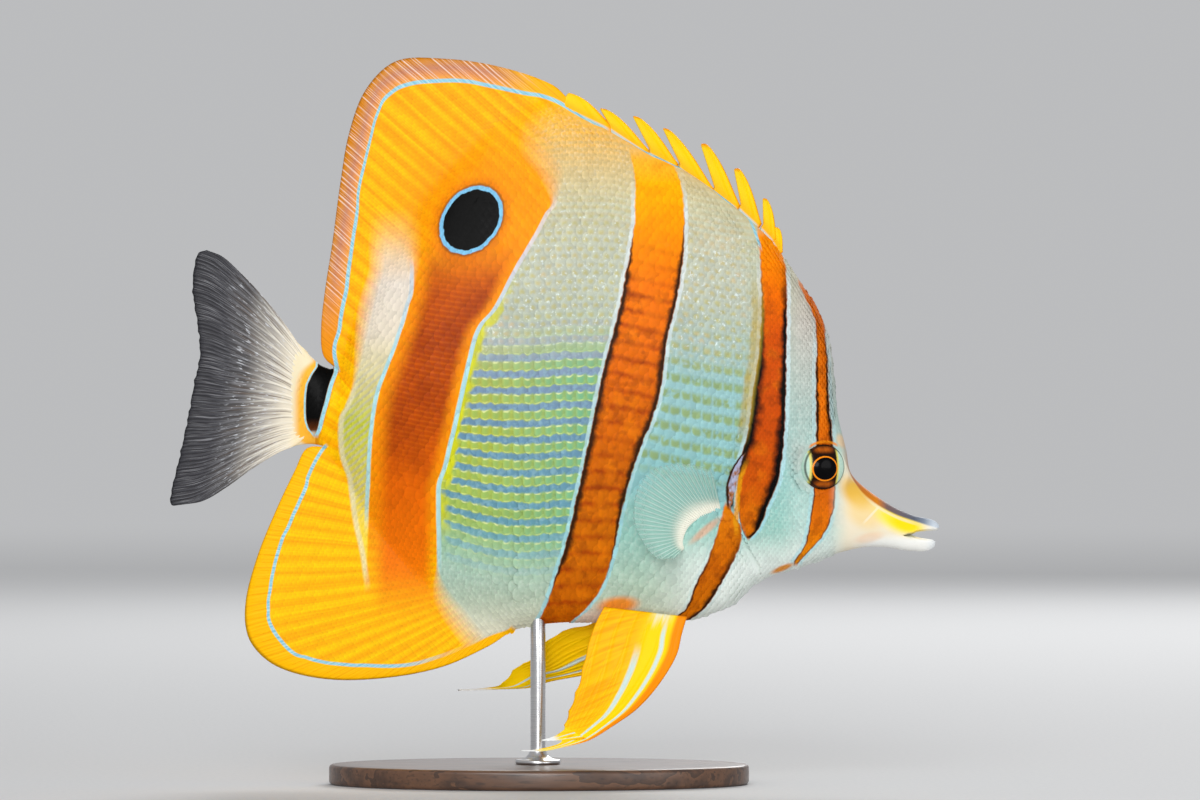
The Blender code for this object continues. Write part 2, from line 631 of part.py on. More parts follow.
def stand_rod(collection, material):
    """A turned rod with a flared foot: a profile on the rod's axis and a Screw modifier."""
    foot = STAND_THICK + GAP
    rim = foot + ROD_FOOT_RIM
    flare = ROD_FOOT_RADIUS - ROD_RADIUS - ROD_FOOT_STEP
    profile = [(0.0, foot), (ROD_FOOT_RADIUS, foot), (ROD_FOOT_RADIUS, rim)]
    for k in range(1, ROD_FOOT_SPANS + 1):
        angle = math.pi / 2 * k / ROD_FOOT_SPANS
        profile.append((ROD_RADIUS + flare * (1 - math.sin(angle)),
                        rim + ROD_FOOT_CURVE * (1 - math.cos(angle))))
    profile += [(ROD_RADIUS, ROD_TOP - ROD_TIP_EDGE), (ROD_RADIUS - ROD_TIP_EDGE, ROD_TOP),
                (0.0, ROD_TOP)]
    mesh = bpy.data.meshes.new("stand_rod")
    verts = [(radius * MM, 0.0, high * MM) for radius, high in profile]
    mesh.from_pydata(verts, [(i, i + 1) for i in range(len(verts) - 1)], [])
    rod = mesh_object("stand_rod", mesh, collection, material)
    rod.location = (ROD_X * MM, 0.0, 0.0)
    screw = rod.modifiers.new("turn", "SCREW")
    screw.steps = ROD_FACETS
    screw.render_steps = ROD_FACETS
    screw.use_merge_vertices = True
    screw.merge_threshold = 0.00001
    screw.use_normal_flip = True
    return rod


def rod_socket(cutters):
    build = bmesh.new()
    radius = (ROD_RADIUS + GAP) * MM
    bmesh.ops.create_cone(build, cap_ends=True, segments=SOCKET_FACETS, radius1=radius,
                          radius2=radius, depth=SOCKET_DEPTH * MM)
    middle = Vector((ROD_X, 0.0, ROD_TOP + GAP - SOCKET_DEPTH / 2))
    bmesh.ops.translate(build, verts=build.verts, vec=middle * MM)
    mesh = bpy.data.meshes.new("rod_socket")
    build.to_mesh(mesh)
    build.free()
    return cutter_object("rod_socket", mesh, cutters)


# ----------------------------------------------------------------------------- build
def fish_materials():
    yellow = new_material("fin_yellow", (0.93, 0.42, 0.02), 0.45)
    pale = new_material("skin_pale", (0.50, 0.62, 0.58), 0.4)
    orange = new_material("skin_orange", (0.72, 0.20, 0.02), 0.4)
    cream = new_material("snout_cream", (0.80, 0.70, 0.45), 0.4)
    clear = new_material("fin_clear", (0.45, 0.50, 0.52), 0.35)
    return {
        "head": pale, "gill_cover_right": pale, "gill_cover_left": pale,
        "snout": cream, "upper_jaw": cream, "lower_jaw": cream, "trunk": orange,
        "dorsal_fin_soft": yellow, "dorsal_fin_spiny": yellow, "anal_fin": yellow,
        "pelvic_fin_right": yellow, "pelvic_fin_left": yellow,
        "pectoral_fin_right": clear, "pectoral_fin_left": clear,
        "caudal_fin": clear, "tail_stalk": orange,
    }


def part_body(materials, parts, cutters):
    """Lofts the body, cuts it into its pieces and returns the uncut body's cutter."""
    ribs = body_ribs()
    split = len(FINNED_RIBS) + CLOSE_RIBS
    rings = rings_from_ribs(ribs, 2)[:2 * split] + rings_from_ribs(ribs, 1)[split:]
    rings = shifted(rings, GAP / 2)
    pieces = {"body": mesh_object("body", loft("body", rings), parts)}
    grown = grown_copy(pieces["body"], "body_grown", cutters)
    for whole, line, *probes in PARTINGS:
        slab = cut_slab(whole + "_cut", line, cutters)
        for half in divide(pieces.pop(whole), slab, probes, materials, parts):
            pieces[half.name] = half
    mouth = cutter_object("gape", outline_prism("gape", GAPE, MOUTH_HALF_DEPTH, cutters), cutters)
    divide(pieces["jaws"], mouth, JAW_PROBES, materials, parts)
    divide(pieces["gill_covers"], gill_divider(cutters), GILL_PROBES, materials, parts)
    take_away(pieces["trunk"], rod_socket(cutters))
    skin_out = flank_at(grown, *EYE_PLACE)
    for side, name in ((-1, "eye_socket_right"), (1, "eye_socket_left")):
        socket = cutter_object(name, eye_mesh(name, side, skin_out, GAP), cutters)
        take_away(pieces["head"], socket)
    return grown


def gill_divider(cutters):
    """A thin wall on the middle plane, between the two gill covers and nothing else."""
    back = smooth_path(NECK_CUT, 3)
    front = smooth_path(CHEEK_CUT, 3)
    outline = front + [point for point in back[::-1] if point.y < front[0].y]
    mesh = outline_prism("gill_divider", outline, GAP / 2, cutters)
    return cutter_object("gill_divider", mesh, cutters)


def part_tail(materials, parts, cutters):
    """Lofts the tail and parts its stalk from its fin."""
    rings = shifted(tail_rings(), -GAP / 2)
    tail = mesh_object("tail", loft("tail", rings), parts)
    divide(tail, cut_slab("tail_cut", TAIL_CUT, cutters), TAIL_PROBES, materials, parts)


def flank_at(grown, x, z):
    """Half width of the uncut body at a place on its side, in mm."""
    build = bmesh.new()
    build.from_mesh(grown.data)
    tree = BVHTree.FromBMesh(build)
    hit = tree.ray_cast(Vector((x, OUTSIDE, z)) * MM, Vector((0.0, -1.0, 0.0)))[0]
    build.free()
    return hit.y / MM - GAP


def main():
    clear_scene()
    parts = new_collection(COLLECTION)
    cutters = new_collection("cutters", hidden=True)
    materials = fish_materials()
    grown = part_body(materials, parts, cutters)
    part_tail(materials, parts, cutters)

    plate = outline_prism("dorsal_fin_spiny", spine_outline(), SPINE_PLATE_HALF, cutters)
    spiny = mesh_object("dorsal_fin_spiny", plate, parts, materials["dorsal_fin_spiny"])
    take_away(spiny, grown)

    for side, word, chords in ((-1, "right", PELVIC_RIGHT), (1, "left", PELVIC_LEFT)):
        name = "pelvic_fin_" + word
        fin = mesh_object(name, pelvic_mesh(name, chords, side), parts, materials[name])
        take_away(fin, grown)
        name = "pectoral_fin_" + word
        fin = mesh_object(name, pectoral_mesh(name, side, grown), parts, materials[name])
        take_away(fin, grown)

    eye = new_material("eye", (0.03, 0.015, 0.01), 0.08)
    skin_out = flank_at(grown, *EYE_PLACE)
    for side, name in ((-1, "eye_right"), (1, "eye_left")):
        mesh_object(name, eye_mesh(name, side, skin_out), parts, eye)

    wood = new_material("stand_wood", (0.09, 0.05, 0.03), 0.4)
    steel = new_material("stand_steel", (0.62, 0.62, 0.63), 0.25, 1.0)
    mesh_object("stand_base", stand_base_mesh(), parts, wood)
    stand_rod(parts, steel)
    for item in list(cutters.objects):
        item.hide_set(True)


main()
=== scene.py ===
"""Copperband butterflyfish, a life-size museum model on its display stand.

The fish faces +X, its right side faces -Y and +Z is up.  Sizes are millimetres in the
code and become metres in the meshes.
"""
import math

import bmesh
import bpy
import numpy as np
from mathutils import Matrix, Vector
from mathutils.bvhtree import BVHTree


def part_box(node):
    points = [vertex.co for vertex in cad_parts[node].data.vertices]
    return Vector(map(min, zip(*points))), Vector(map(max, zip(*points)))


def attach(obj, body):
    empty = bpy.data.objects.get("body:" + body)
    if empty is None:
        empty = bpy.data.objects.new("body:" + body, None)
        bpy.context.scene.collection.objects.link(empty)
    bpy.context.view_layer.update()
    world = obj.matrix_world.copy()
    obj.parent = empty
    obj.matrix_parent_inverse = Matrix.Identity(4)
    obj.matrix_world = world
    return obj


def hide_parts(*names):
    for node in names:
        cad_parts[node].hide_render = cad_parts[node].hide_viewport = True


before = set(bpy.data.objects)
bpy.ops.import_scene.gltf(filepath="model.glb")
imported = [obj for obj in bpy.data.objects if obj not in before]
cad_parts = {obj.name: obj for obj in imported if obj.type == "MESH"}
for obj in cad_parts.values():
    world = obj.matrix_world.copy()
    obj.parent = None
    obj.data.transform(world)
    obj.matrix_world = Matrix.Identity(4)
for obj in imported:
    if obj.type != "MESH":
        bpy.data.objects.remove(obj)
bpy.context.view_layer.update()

# ---------------------------------------------------------------------------- studio
# A pale paper floor that fades into the pale room, three large soft lamps in front of the
# fish and one behind it, and a long lens that looks level along +Y.
MM = 0.001
ROOM_TONE = (0.50, 0.505, 0.515)
FLOOR_DROP = 0.02         # the floor lies this far under the stand

scene = bpy.context.scene
scene.view_settings.view_transform = "Standard"
camera = bpy.data.objects.new("camera", bpy.data.cameras.new("camera"))
scene.collection.objects.link(camera)
scene.camera = camera
camera.data.lens = 210.0
camera.data.sensor_width = 36.0
camera.data.clip_end = 100.0
camera.location = (9.2 * MM, -1.4, 76.8 * MM)
camera.rotation_euler = (math.radians(90.0), 0.0, 0.0)

room = bpy.data.worlds.new("room")
scene.world = room
room.use_nodes = True
room.node_tree.nodes["Background"].inputs["Color"].default_value = (*ROOM_TONE, 1.0)
room.node_tree.nodes["Background"].inputs["Strength"].default_value = 1.0


def soft_lamp(name, place, aim, size, power):
    lamp = bpy.data.lights.new(name, "AREA")
    lamp.shape = "DISK"
    lamp.size = size
    lamp.energy = power
    item = bpy.data.objects.new(name, lamp)
    scene.collection.objects.link(item)
    item.location = place
    way = Vector(aim) - Vector(place)
    item.rotation_euler = way.to_track_quat("-Z", "Y").to_euler()


soft_lamp("key_lamp", (-0.25, -1.25, 0.75), (0.0, 0.0, 0.08), 0.7, 5.7)
soft_lamp("fill_lamp", (0.9, -1.0, 0.12), (0.0, 0.0, 0.07), 0.8, 3.6)
soft_lamp("low_lamp", (0.0, -2.3, 0.5), (0.0, 0.0, 0.06), 0.85, 17.0)
soft_lamp("back_lamp", (0.3, 1.2, 0.8), (0.0, 0.0, 0.08), 0.8, 9.0)


class Value:
    """A node's output, to be reckoned with like a number; each step adds a node."""

    def __init__(self, mixer, socket):
        self.mixer, self.socket = mixer, socket

    def math(self, operation, *others):
        return self.mixer.math(operation, self, *others)

    def __add__(self, other):
        return self.math("ADD", other)

    def __sub__(self, other):
        return self.math("SUBTRACT", other)

    def __rsub__(self, other):
        return self.mixer.math("SUBTRACT", other, self)

    def __mul__(self, other):
        return self.math("MULTIPLY", other)

    def __truediv__(self, other):
        return self.math("DIVIDE", other)

    __radd__, __rmul__ = __add__, __mul__

    def most(self, other):
        return self.math("MAXIMUM", other)

    def fract(self):
        return self.math("FRACT")

    def length(self, other):
        return (self * self + other * other).math("SQRT")

    def share(self):
        """The value kept between 0 and 1."""
        return self.mixer.node("ShaderNodeClamp", {0: self})

    def step(self, low, high):
        """0 at low and 1 at high, eased between them; low may be the larger."""
        return self.mixer.node("ShaderNodeMapRange", {0: self, 1: low, 2: high},
                               interpolation_type="SMOOTHSTEP", clamp=False)

    def within(self, low, high, soft):
        """1 between low and high, fading to 0 over soft on both sides."""
        soft = soft / 2
        return self.step(low - soft, low + soft) * self.step(high + soft, high - soft)

    def curve(self, low, high, points):
        """A smooth curve through (input, output) pairs, over inputs from low to high."""
        least, most = min(y for _, y in points), max(y for _, y in points)
        value = self.mixer.node("ShaderNodeFloatCurve", {1: (self - low) / (high - low)})
        mapping = value.socket.node.mapping
        line = mapping.curves[0]
        rows = [((x - low) / (high - low), (y - least) / (most - least))
                for x, y in sorted(points)]
        line.points[0].location = rows[0]
        line.points[1].location = rows[-1]
        for row in rows[1:-1]:
            line.points.new(*row)
        for point in line.points:
            point.handle_type = "AUTO_CLAMPED"
        mapping.extend = "HORIZONTAL"
        mapping.update()
        return value * (most - least) + least

    def ramp(self, low, high, *stops):
        """A colour band over inputs from low to high; a stop is (input, red, green, blue) in
        screen colours, or (input, level) for a plain value."""
        value = self.mixer.node("ShaderNodeValToRGB", {0: (self - low) / (high - low)})
        band = value.socket.node.color_ramp
        while len(band.elements) < len(stops):
            band.elements.new(0.5)
        for element, (x, *tone) in zip(band.elements, stops):
            element.position = (x - low) / (high - low)
            element.color = tint(*tone) if len(tone) == 3 else (*tone * 3, 1.0)
        return value


class Mixer:
    """Adds nodes to one tree, and holds the colour painted so far and a material's shader."""

    def __init__(self, tree, shader=None):
        self.tree, self.shader = tree, shader

    def node(self, kind, inputs=(), output=0, **settings):
        """One node with inputs by name or number; gives back one of its outputs."""
        item = self.tree.nodes.new(kind)
        for name, value in settings.items():
            setattr(item, name, value)
        for key, value in dict(inputs).items():
            if isinstance(value, Value):
                self.tree.links.new(value.socket, item.inputs[key])
            else:
                item.inputs[key].default_value = value
        return Value(self, item.outputs[output])

    def math(self, operation, *values):
        return self.node("ShaderNodeMath", dict(enumerate(values)), operation=operation)

    def place(self):
        """The place on the object, in metres."""
        return self.node("ShaderNodeTexCoord", output="Object")

    def measure(self, place, *way):
        """How far a place lies along a way, in millimetres for a way of length 1000."""
        return self.node("ShaderNodeVectorMath", {0: place, 1: way}, "Value",
                         operation="DOT_PRODUCT")

    def field(self, label):
        """A named value of the mesh."""
        return self.node("ShaderNodeAttribute", {}, "Fac", attribute_name=label)

    def stored(self, label, kind="FLOAT_VECTOR"):
        """A named value of a mesh that is being shaped."""
        return self.node("GeometryNodeInputNamedAttribute", {"Name": label}, "Attribute",
                         data_type=kind)

    def join(self, x, y, z=0.0):
        return self.node("ShaderNodeCombineXYZ", {0: x, 1: y, 2: z})

    def noise(self, vector, scale, detail=2.0, roughness=0.5):
        return self.node("ShaderNodeTexNoise", {"Vector": vector, "Scale": scale,
                         "Detail": detail, "Roughness": roughness}, noise_dimensions="3D")

    def stripes(self, value, detail):
        """Noise that changes along one value only."""
        return self.node("ShaderNodeTexNoise", {"W": value, "Scale": 1.0, "Detail": detail},
                         noise_dimensions="1D")

    def grain(self, scale, detail, roughness=0.5):
        """Noise on the object's place, drawn out by a scale for each axis."""
        place = self.node("ShaderNodeMapping", {"Vector": self.place(), "Scale": scale})
        return self.noise(place, 1.0, detail, roughness)

    def threads(self, x, y, detail=2.0):
        """Noise over two values, drawn out along the one that changes less."""
        return self.noise(self.join(x, y), 1.0, detail)

    def blend(self, share, under, over):
        """One colour over another; screen colours may be given as (red, green, blue)."""
        under, over = (tint(*tone) if isinstance(tone, tuple) and len(tone) == 3 else tone
                       for tone in (under, over))
        return self.node("ShaderNodeMix", {0: share, 6: under, 7: over}, output=2,
                         data_type="RGBA")

    def lay(self, tone, share):
        """Lays a tone over the colour painted so far."""
        self.colour = self.blend(share, self.colour, tone)

    def wire(self, name, value):
        self.tree.links.new(value.socket, self.shader.inputs[name])

    def end(self, value):
        """Hands a value out of a node group."""
        self.tree.links.new(value.socket, self.tree.nodes.new("NodeGroupOutput").inputs[0])

    def bump(self, height, strength, depth):
        self.wire("Normal", self.node("ShaderNodeBump", {"Height": height, "Strength": strength,
                                                         "Distance": depth}))

    def lacquer(self, specular, coat, coat_roughness):
        self.shader.inputs["Specular IOR Level"].default_value = specular
        self.shader.inputs["Coat Weight"].default_value = coat
        self.shader.inputs["Coat Roughness"].default_value = coat_roughness


def tint(red, green, blue):
    """A screen colour (0 to 255) as linear RGBA."""
    parts = [value / 255 for value in (red, green, blue)]
    parts = [v / 12.92 if v <= 0.04045 else ((v + 0.055) / 1.055) ** 2.4 for v in parts]
    return (*parts, 1.0)


def new_material(name):
    """A material and the Mixer for its tree and Principled shader."""
    material = bpy.data.materials.new(name)
    material.use_nodes = True
    tree = material.node_tree
    return material, Mixer(tree, tree.nodes["Principled BSDF"])


def add_object(name, mesh, material=None):
    item = bpy.data.objects.new(name, mesh)
    scene.collection.objects.link(item)
    if material:
        mesh.materials.append(material)
        mesh.shade_smooth()
    return item


def round_mesh(name, rows, material):
    """An object from closed rows of points (rows, points, 3), in millimetres."""
    count = rows.shape[1]
    faces = [(i * count + j, i * count + (j + 1) % count,
              (i + 1) * count + (j + 1) % count, (i + 1) * count + j)
             for i in range(len(rows) - 1) for j in range(count)]
    mesh = bpy.data.meshes.new(name)
    mesh.from_pydata((rows.reshape(-1, 3) * MM).tolist(), [], faces)
    return add_object(name, mesh, material)


paper, mix = new_material("floor_paper")
place = mix.place()
reach = mix.node("ShaderNodeVectorMath", {0: place}, output="Value", operation="LENGTH")
grain = mix.noise(place, 900.0, 3.0)
mix.wire("Base Color", grain.ramp(0, 1, (0.3, 196, 197, 198), (0.7, 202, 202, 202)))
mix.shader.inputs["Roughness"].default_value = 0.75
glow = mix.node("ShaderNodeEmission", {"Color": (*ROOM_TONE, 1.0)})
both = mix.node("ShaderNodeMixShader",
                {0: reach.step(0.5, 3), 1: Value(mix, mix.shader.outputs[0]), 2: glow})
paper.node_tree.links.new(both.socket, paper.node_tree.nodes["Material Output"].inputs["Surface"])
turns = np.linspace(0.0, 2 * math.pi, 64, endpoint=False)
floor_rows = [[(r * math.cos(a), r * math.sin(a), -FLOOR_DROP) for a in turns]
              for r in (0, 60, 150, 400, 1200, 4000, 12000, 30000)]
floor = round_mesh("floor", np.array(floor_rows), paper)

# ------------------------------------------------------------------------------ skin
# The cast body: one skin from the jaws to the root of the tail fin, with the soft dorsal
# fin and the anal fin drawn out of it.  It is painted resin under a satin lacquer, and
# lies a little inside the outline, by the depth of the scales that are laid over it.
FIN_EDGE_HALF = 0.3
FIN_ROOT_HALF = 0.62
SCALE_DEPTH = 0.28
FIN_ROWS = 11
FLESH_ROWS = 64
EYE_X, EYE_Z = 53.9, 63.5
EYE_RADIUS = 4.6

# Ribs with fins: fin top, back, belly, fin foot (x, z), half width, fin share up and down.
FINNED_RIBS = [
    ((-42.4, 82.4), (-42.4, 81.8), (-45.2, 68.0), (-45.2, 67.4), 2.6, 0.0, 0.0),
    ((-46.0, 85.4), (-41.8, 84.4), (-44.2, 65.6), (-49.4, 67.2), 2.9, 1.0, 1.0),
    ((-46.6, 90.8), (-40.6, 87.8), (-42.8, 63.6), (-51.8, 62.8), 3.5, 1.0, 1.0),
    ((-45.8, 98.8), (-39.2, 92.4), (-40.8, 60.4), (-55.6, 54.8), 4.2, 1.0, 1.0),
    ((-44.4, 107.8), (-37.2, 97.2), (-38.2, 56.0), (-59.6, 44.8), 5.0, 1.0, 1.0),
    ((-42.8, 119.8), (-34.2, 103.2), (-34.8, 50.8), (-61.8, 35.4), 5.8, 1.0, 1.0),
    ((-41.0, 130.2), (-31.0, 108.6), (-31.2, 46.4), (-60.8, 28.6), 6.5, 1.0, 1.0),
    ((-37.6, 139.0), (-27.2, 114.8), (-27.6, 42.4), (-55.6, 23.6), 7.1, 1.0, 1.0),
    ((-31.6, 144.6), (-22.4, 122.0), (-23.6, 38.8), (-45.8, 21.0), 7.7, 1.0, 1.0),
    ((-22.4, 145.1), (-16.4, 128.6), (-18.8, 35.8), (-33.8, 21.2), 8.2, 1.0, 1.0),
    ((-11.4, 143.6), (-9.2, 134.2), (-13.8, 33.4), (-22.4, 23.4), 8.6, 1.0, 1.0),
    ((-0.2, 139.8), (-1.0, 134.4), (-8.6, 32.2), (-13.0, 27.6), 8.9, 0.7, 0.7),
    ((4.2, 135.5), (3.2, 132.4), (-6.0, 33.0), (-7.4, 31.0), 9.1, 0.3, 0.3),
]
# Ribs without fins: back, belly, half width, bluntness, and how deep the scales lie.
PLAIN_RIBS = [
    ((9.2, 132.0), (0.4, 32.0), 9.3, 0.55, 1.0),
    ((17.2, 127.4), (9.6, 32.2), 9.5, 0.55, 1.0),
    ((25.4, 123.4), (19.2, 32.2), 9.6, 0.55, 1.0),
    ((32.8, 118.4), (27.4, 32.6), 9.6, 0.55, 1.0),
    ((38.8, 113.4), (32.0, 34.0), 9.6, 0.53, 1.0),
    ((43.2, 109.2), (36.4, 36.0), 9.5, 0.50, 1.0),
    ((46.6, 104.6), (39.8, 39.4), 9.2, 0.47, 0.9),
    ((49.8, 99.8), (42.6, 41.0), 8.8, 0.45, 0.8),
    ((52.6, 95.4), (45.2, 42.1), 8.3, 0.42, 0.7),
    ((55.0, 89.2), (47.4, 42.7), 7.7, 0.40, 0.6),
    ((56.0, 81.8), (49.8, 43.5), 7.0, 0.38, 0.5),
    ((56.8, 73.8), (52.6, 44.4), 6.3, 0.36, 0.4),
    ((58.4, 67.0), (56.2, 45.9), 5.5, 0.37, 0.3),
    ((59.4, 62.2), (59.8, 46.9), 4.7, 0.42, 0.2),
    ((62.8, 58.8), (63.2, 47.4), 3.7, 0.48, 0.1),
    ((67.6, 55.6), (67.4, 47.2), 3.0, 0.50, 0.0),
    ((69.9, 54.5), (69.5, 46.8), 2.75, 0.50, 0.0),
]
# The jaws, from the corner of the mouth forwards: upper edge, gape above, gape below,
# lower edge (x, z) and half width.
JAW_RIBS = [
    ((69.9, 54.5), (69.7, 49.72), (69.7, 49.68), (69.5, 46.8), 2.75),
    ((71.5, 53.85), (71.5, 49.90), (71.3, 49.85), (71.0, 46.65), 2.6),
    ((72.6, 53.5), (72.5, 50.40), (72.3, 49.50), (71.9, 46.6), 2.45),
    ((74.4, 53.15), (74.2, 50.60), (73.8, 49.15), (73.2, 46.5), 2.2),
    ((75.6, 52.85), (75.4, 50.65), (74.9, 49.0), (74.4, 46.6), 1.9),
    ((76.55, 52.3), (76.35, 50.7), (75.75, 48.8), (75.4, 46.95), 1.45),
    ((77.05, 51.65), (76.95, 51.0), (76.25, 48.4), (76.1, 47.5), 0.75),
]
# Ribs of the tail stalk, from the body backwards; the last lie inside the tail fin.
TAIL_RIBS = [
    ((-44.6, 83.0), (-46.6, 67.7), 2.6),
    ((-47.0, 84.0), (-48.6, 68.0), 2.25),
    ((-50.2, 87.2), (-51.0, 67.8), 1.25),
    ((-52.2, 89.2), (-53.0, 67.3), 0.45),
    ((-53.4, 90.2), (-54.2, 67.3), 0.15),
]
NECK_LINE = [(41.2, 76.4), (38.4, 66.0), (35.6, 59.0), (36.6, 53.4), (39.2, 47.6), (42.6, 40.6)]
CHEEK_LINE = [(43.4, 75.2), (46.0, 70.6), (47.2, 62.6), (46.6, 52.6), (44.6, 43.0)]


def smooth_path(points, steps):
    """Rows on a smooth curve through the given rows, with so many steps for each span."""
    rows = np.array(points, float).reshape(len(points), -1)
    spans = np.maximum(np.linalg.norm(np.diff(rows, axis=0), axis=1), 1e-6)
    slopes = np.empty_like(rows)
    slopes[0] = (rows[1] - rows[0]) / spans[0]
    slopes[-1] = (rows[-1] - rows[-2]) / spans[-1]
    slopes[1:-1] = (rows[2:] - rows[:-2]) / (spans[1:] + spans[:-1])[:, None]
    path = []
    for i, span in enumerate(spans):
        count = steps[i] if isinstance(steps, list) else steps
        t = (np.arange(count) / count)[:, None]
        path.append((2 * t ** 3 - 3 * t ** 2 + 1) * rows[i]
                    + (t ** 3 - 2 * t ** 2 + t) * span * slopes[i]
                    + (3 * t ** 2 - 2 * t ** 3) * rows[i + 1]
                    + (t ** 3 - t ** 2) * span * slopes[i + 1])
    return np.concatenate(path + [rows[-1:]])


def rib_rows(top, back, belly, low, width, blunt, fin_up, fin_low):
    """Points (x, z) down one rib and the half width at each, thin in the fins."""
    corners = np.array([top, back, belly, low])
    marks = np.concatenate([[0.0], np.cumsum(np.linalg.norm(np.diff(corners, axis=0), axis=1))])
    upper, lower = marks[1], marks[3] - marks[2]
    fin = np.linspace(0.0, 1.0, FIN_ROWS, endpoint=False) ** 1.5
    flesh = 0.5 - 0.5 * np.cos(np.pi * np.arange(FLESH_ROWS + 1) / FLESH_ROWS)
    rows = np.concatenate([fin * upper, marks[1] + flesh * (marks[2] - marks[1]),
                           marks[3] - fin[::-1] * lower])
    centre = 0.5 * (upper * fin_up + marks[3] - lower * fin_low)
    t = (rows - centre) / (marks[3] - lower * fin_low - centre)
    share = np.where(t < 0, fin_up, fin_low)
    body = width * np.maximum(1.0 - t * t, 0.0) ** (blunt + 0.45 * share)
    edge = np.where(t < 0, rows, marks[3] - rows)
    out = np.clip(edge / max(upper, 1e-6) if fin_up else edge, 0.0, 1.0)
    out = np.where(t < 0, out, np.clip(edge / max(lower, 1e-6), 0.0, 1.0))
    plate = (FIN_EDGE_HALF + (FIN_ROOT_HALF - FIN_EDGE_HALF) * out) * share
    plate = plate * np.sqrt(np.clip(edge / 0.5, 0.0, 1.0))
    half = np.hypot(body, plate)
    half[0] = half[-1] = 0.0
    x = np.interp(rows, marks, corners[:, 0])
    z = np.interp(rows, marks, corners[:, 1])
    return np.stack([x, half, z], axis=1)


def ring(rows):
    """Down the right side (-Y) and back up the left side."""
    flip = np.array([1.0, -1.0, 1.0])
    return np.concatenate([rows * flip, rows[-2:0:-1]])


def inset_rib(top, low, width, blunt, depth=0.0):
    """A rib without fins, drawn in by the depth of the scales."""
    top, low = np.array(top), np.array(low)
    way = (low - top) / np.linalg.norm(low - top)
    top, low = top + way * depth * 0.8, low - way * depth * 0.8
    inset = min(2.2, 0.22 * np.linalg.norm(low - top))
    return (top, top + way * inset, low - way * inset, low, width - depth, blunt, 0.0, 0.0)


def ruled(ribs, steps):
    """Rib rows on a smooth run through the ribs, with so many steps for each span."""
    lines = [smooth_path([rib[k] for rib in ribs], steps) for k in range(4)]
    sizes = smooth_path([rib[4:] for rib in ribs], steps)
    sizes[:, 2:] = np.clip(sizes[:, 2:], 0.0, 1.0)
    return [rib_rows(*(line[i] for line in lines), *sizes[i]) for i in range(len(sizes))]


def skin_rings():
    """Rib rows from the end of the tail stalk to the corner of the mouth."""
    ribs = [(*rib[:4], rib[4] - SCALE_DEPTH, 0.5, *rib[5:]) for rib in FINNED_RIBS]
    ribs += [inset_rib(*rib[:4], rib[4] * SCALE_DEPTH) for rib in PLAIN_RIBS]
    first = ribs[0]
    tail = [inset_rib(first[0], first[3], first[4] + 0.1, 0.5)]
    tail += [inset_rib(top, low, width, 0.5) for top, low, width in TAIL_RIBS]
    return ruled(tail, 5)[:0:-1] + ruled(ribs, [4] + [6] * 16 + [11] * 11 + [8])


def line_distance(x, z, line):
    """Signed distance to a line in the X-Z plane (positive on its +X side) and the share along."""
    path = smooth_path(line, 6)
    best = np.full(x.shape, 1e9)
    sign = np.zeros(x.shape)
    along = np.zeros(x.shape)
    for i, (a, b) in enumerate(zip(path, path[1:])):
        way = b - a
        t = np.clip(((x - a[0]) * way[0] + (z - a[1]) * way[1]) / (way @ way), 0.0, 1.0)
        dx, dz = x - a[0] - t * way[0], z - a[1] - t * way[1]
        far = np.hypot(dx, dz)
        near = far < best
        best = np.where(near, far, best)
        sign = np.where(near, np.sign(dx * -way[1] + dz * way[0]), sign)
        along = np.where(near, (i + t) / (len(path) - 1), along)
    return best * sign, along


def ease(value, low, high):
    t = np.clip((value - low) / (high - low), 0.0, 1.0)
    return t * t * (3 - 2 * t)


def hill(gap, middle, width):
    """1 at the middle of a line's width, and next to nothing two widths off."""
    return np.exp(-((gap - middle) / width) ** 2)


def skin_relief(points):
    """How far the skin stands out (mm): gill cover, creases, orbit, nostrils, cheek."""
    x, z = points[..., 0], points[..., 2]
    gap, along = line_distance(x, z, NECK_LINE)
    ends = ease(along, 0.0, 0.12) * ease(along, 1.0, 0.9)
    relief = -0.34 * hill(gap, -0.35, 0.36) * ends
    relief += 0.22 * ease(gap, -0.15, 0.25) * np.exp(-np.maximum(gap, 0.0) / 3.0) * ends
    gap, along = line_distance(x, z, CHEEK_LINE)
    ends = ease(along, 0.0, 0.2) * ease(along, 1.0, 0.8)
    relief += (-0.03 * hill(gap, 0.0, 0.6) + 0.05 * hill(gap, 1.2, 1.0)) * ends
    reach = np.hypot(x - EYE_X, z - EYE_Z)
    relief += 0.26 * hill(reach, EYE_RADIUS + 0.75, 0.55)
    relief -= 0.30 * hill(reach, EYE_RADIUS + 0.05, 0.35)
    relief -= 1.2 * ease(reach, EYE_RADIUS, EYE_RADIUS - 1.2)
    for nostril_x, nostril_z, size in ((58.1, 69.9, 0.42), (57.5, 71.5, 0.34)):
        reach = np.hypot(x - nostril_x, z - nostril_z)
        relief -= 0.4 * hill(reach, 0.0, size)
        relief += 0.14 * hill(reach, 0.85, 0.35)
    for crease, end in (([(59.2, 61.2), (62.0, 58.6), (65.2, 55.9), (69.0, 53.9)], 0.1),
                        ([(61.4, 52.0), (63.4, 53.6), (65.2, 55.7)], 0.2)):
        gap, along = line_distance(x, z, crease)
        relief -= 0.12 * hill(gap, 0.0, 0.35) * ease(along, 0.0, end) * ease(along, 1.0, 1 - end)
    return relief


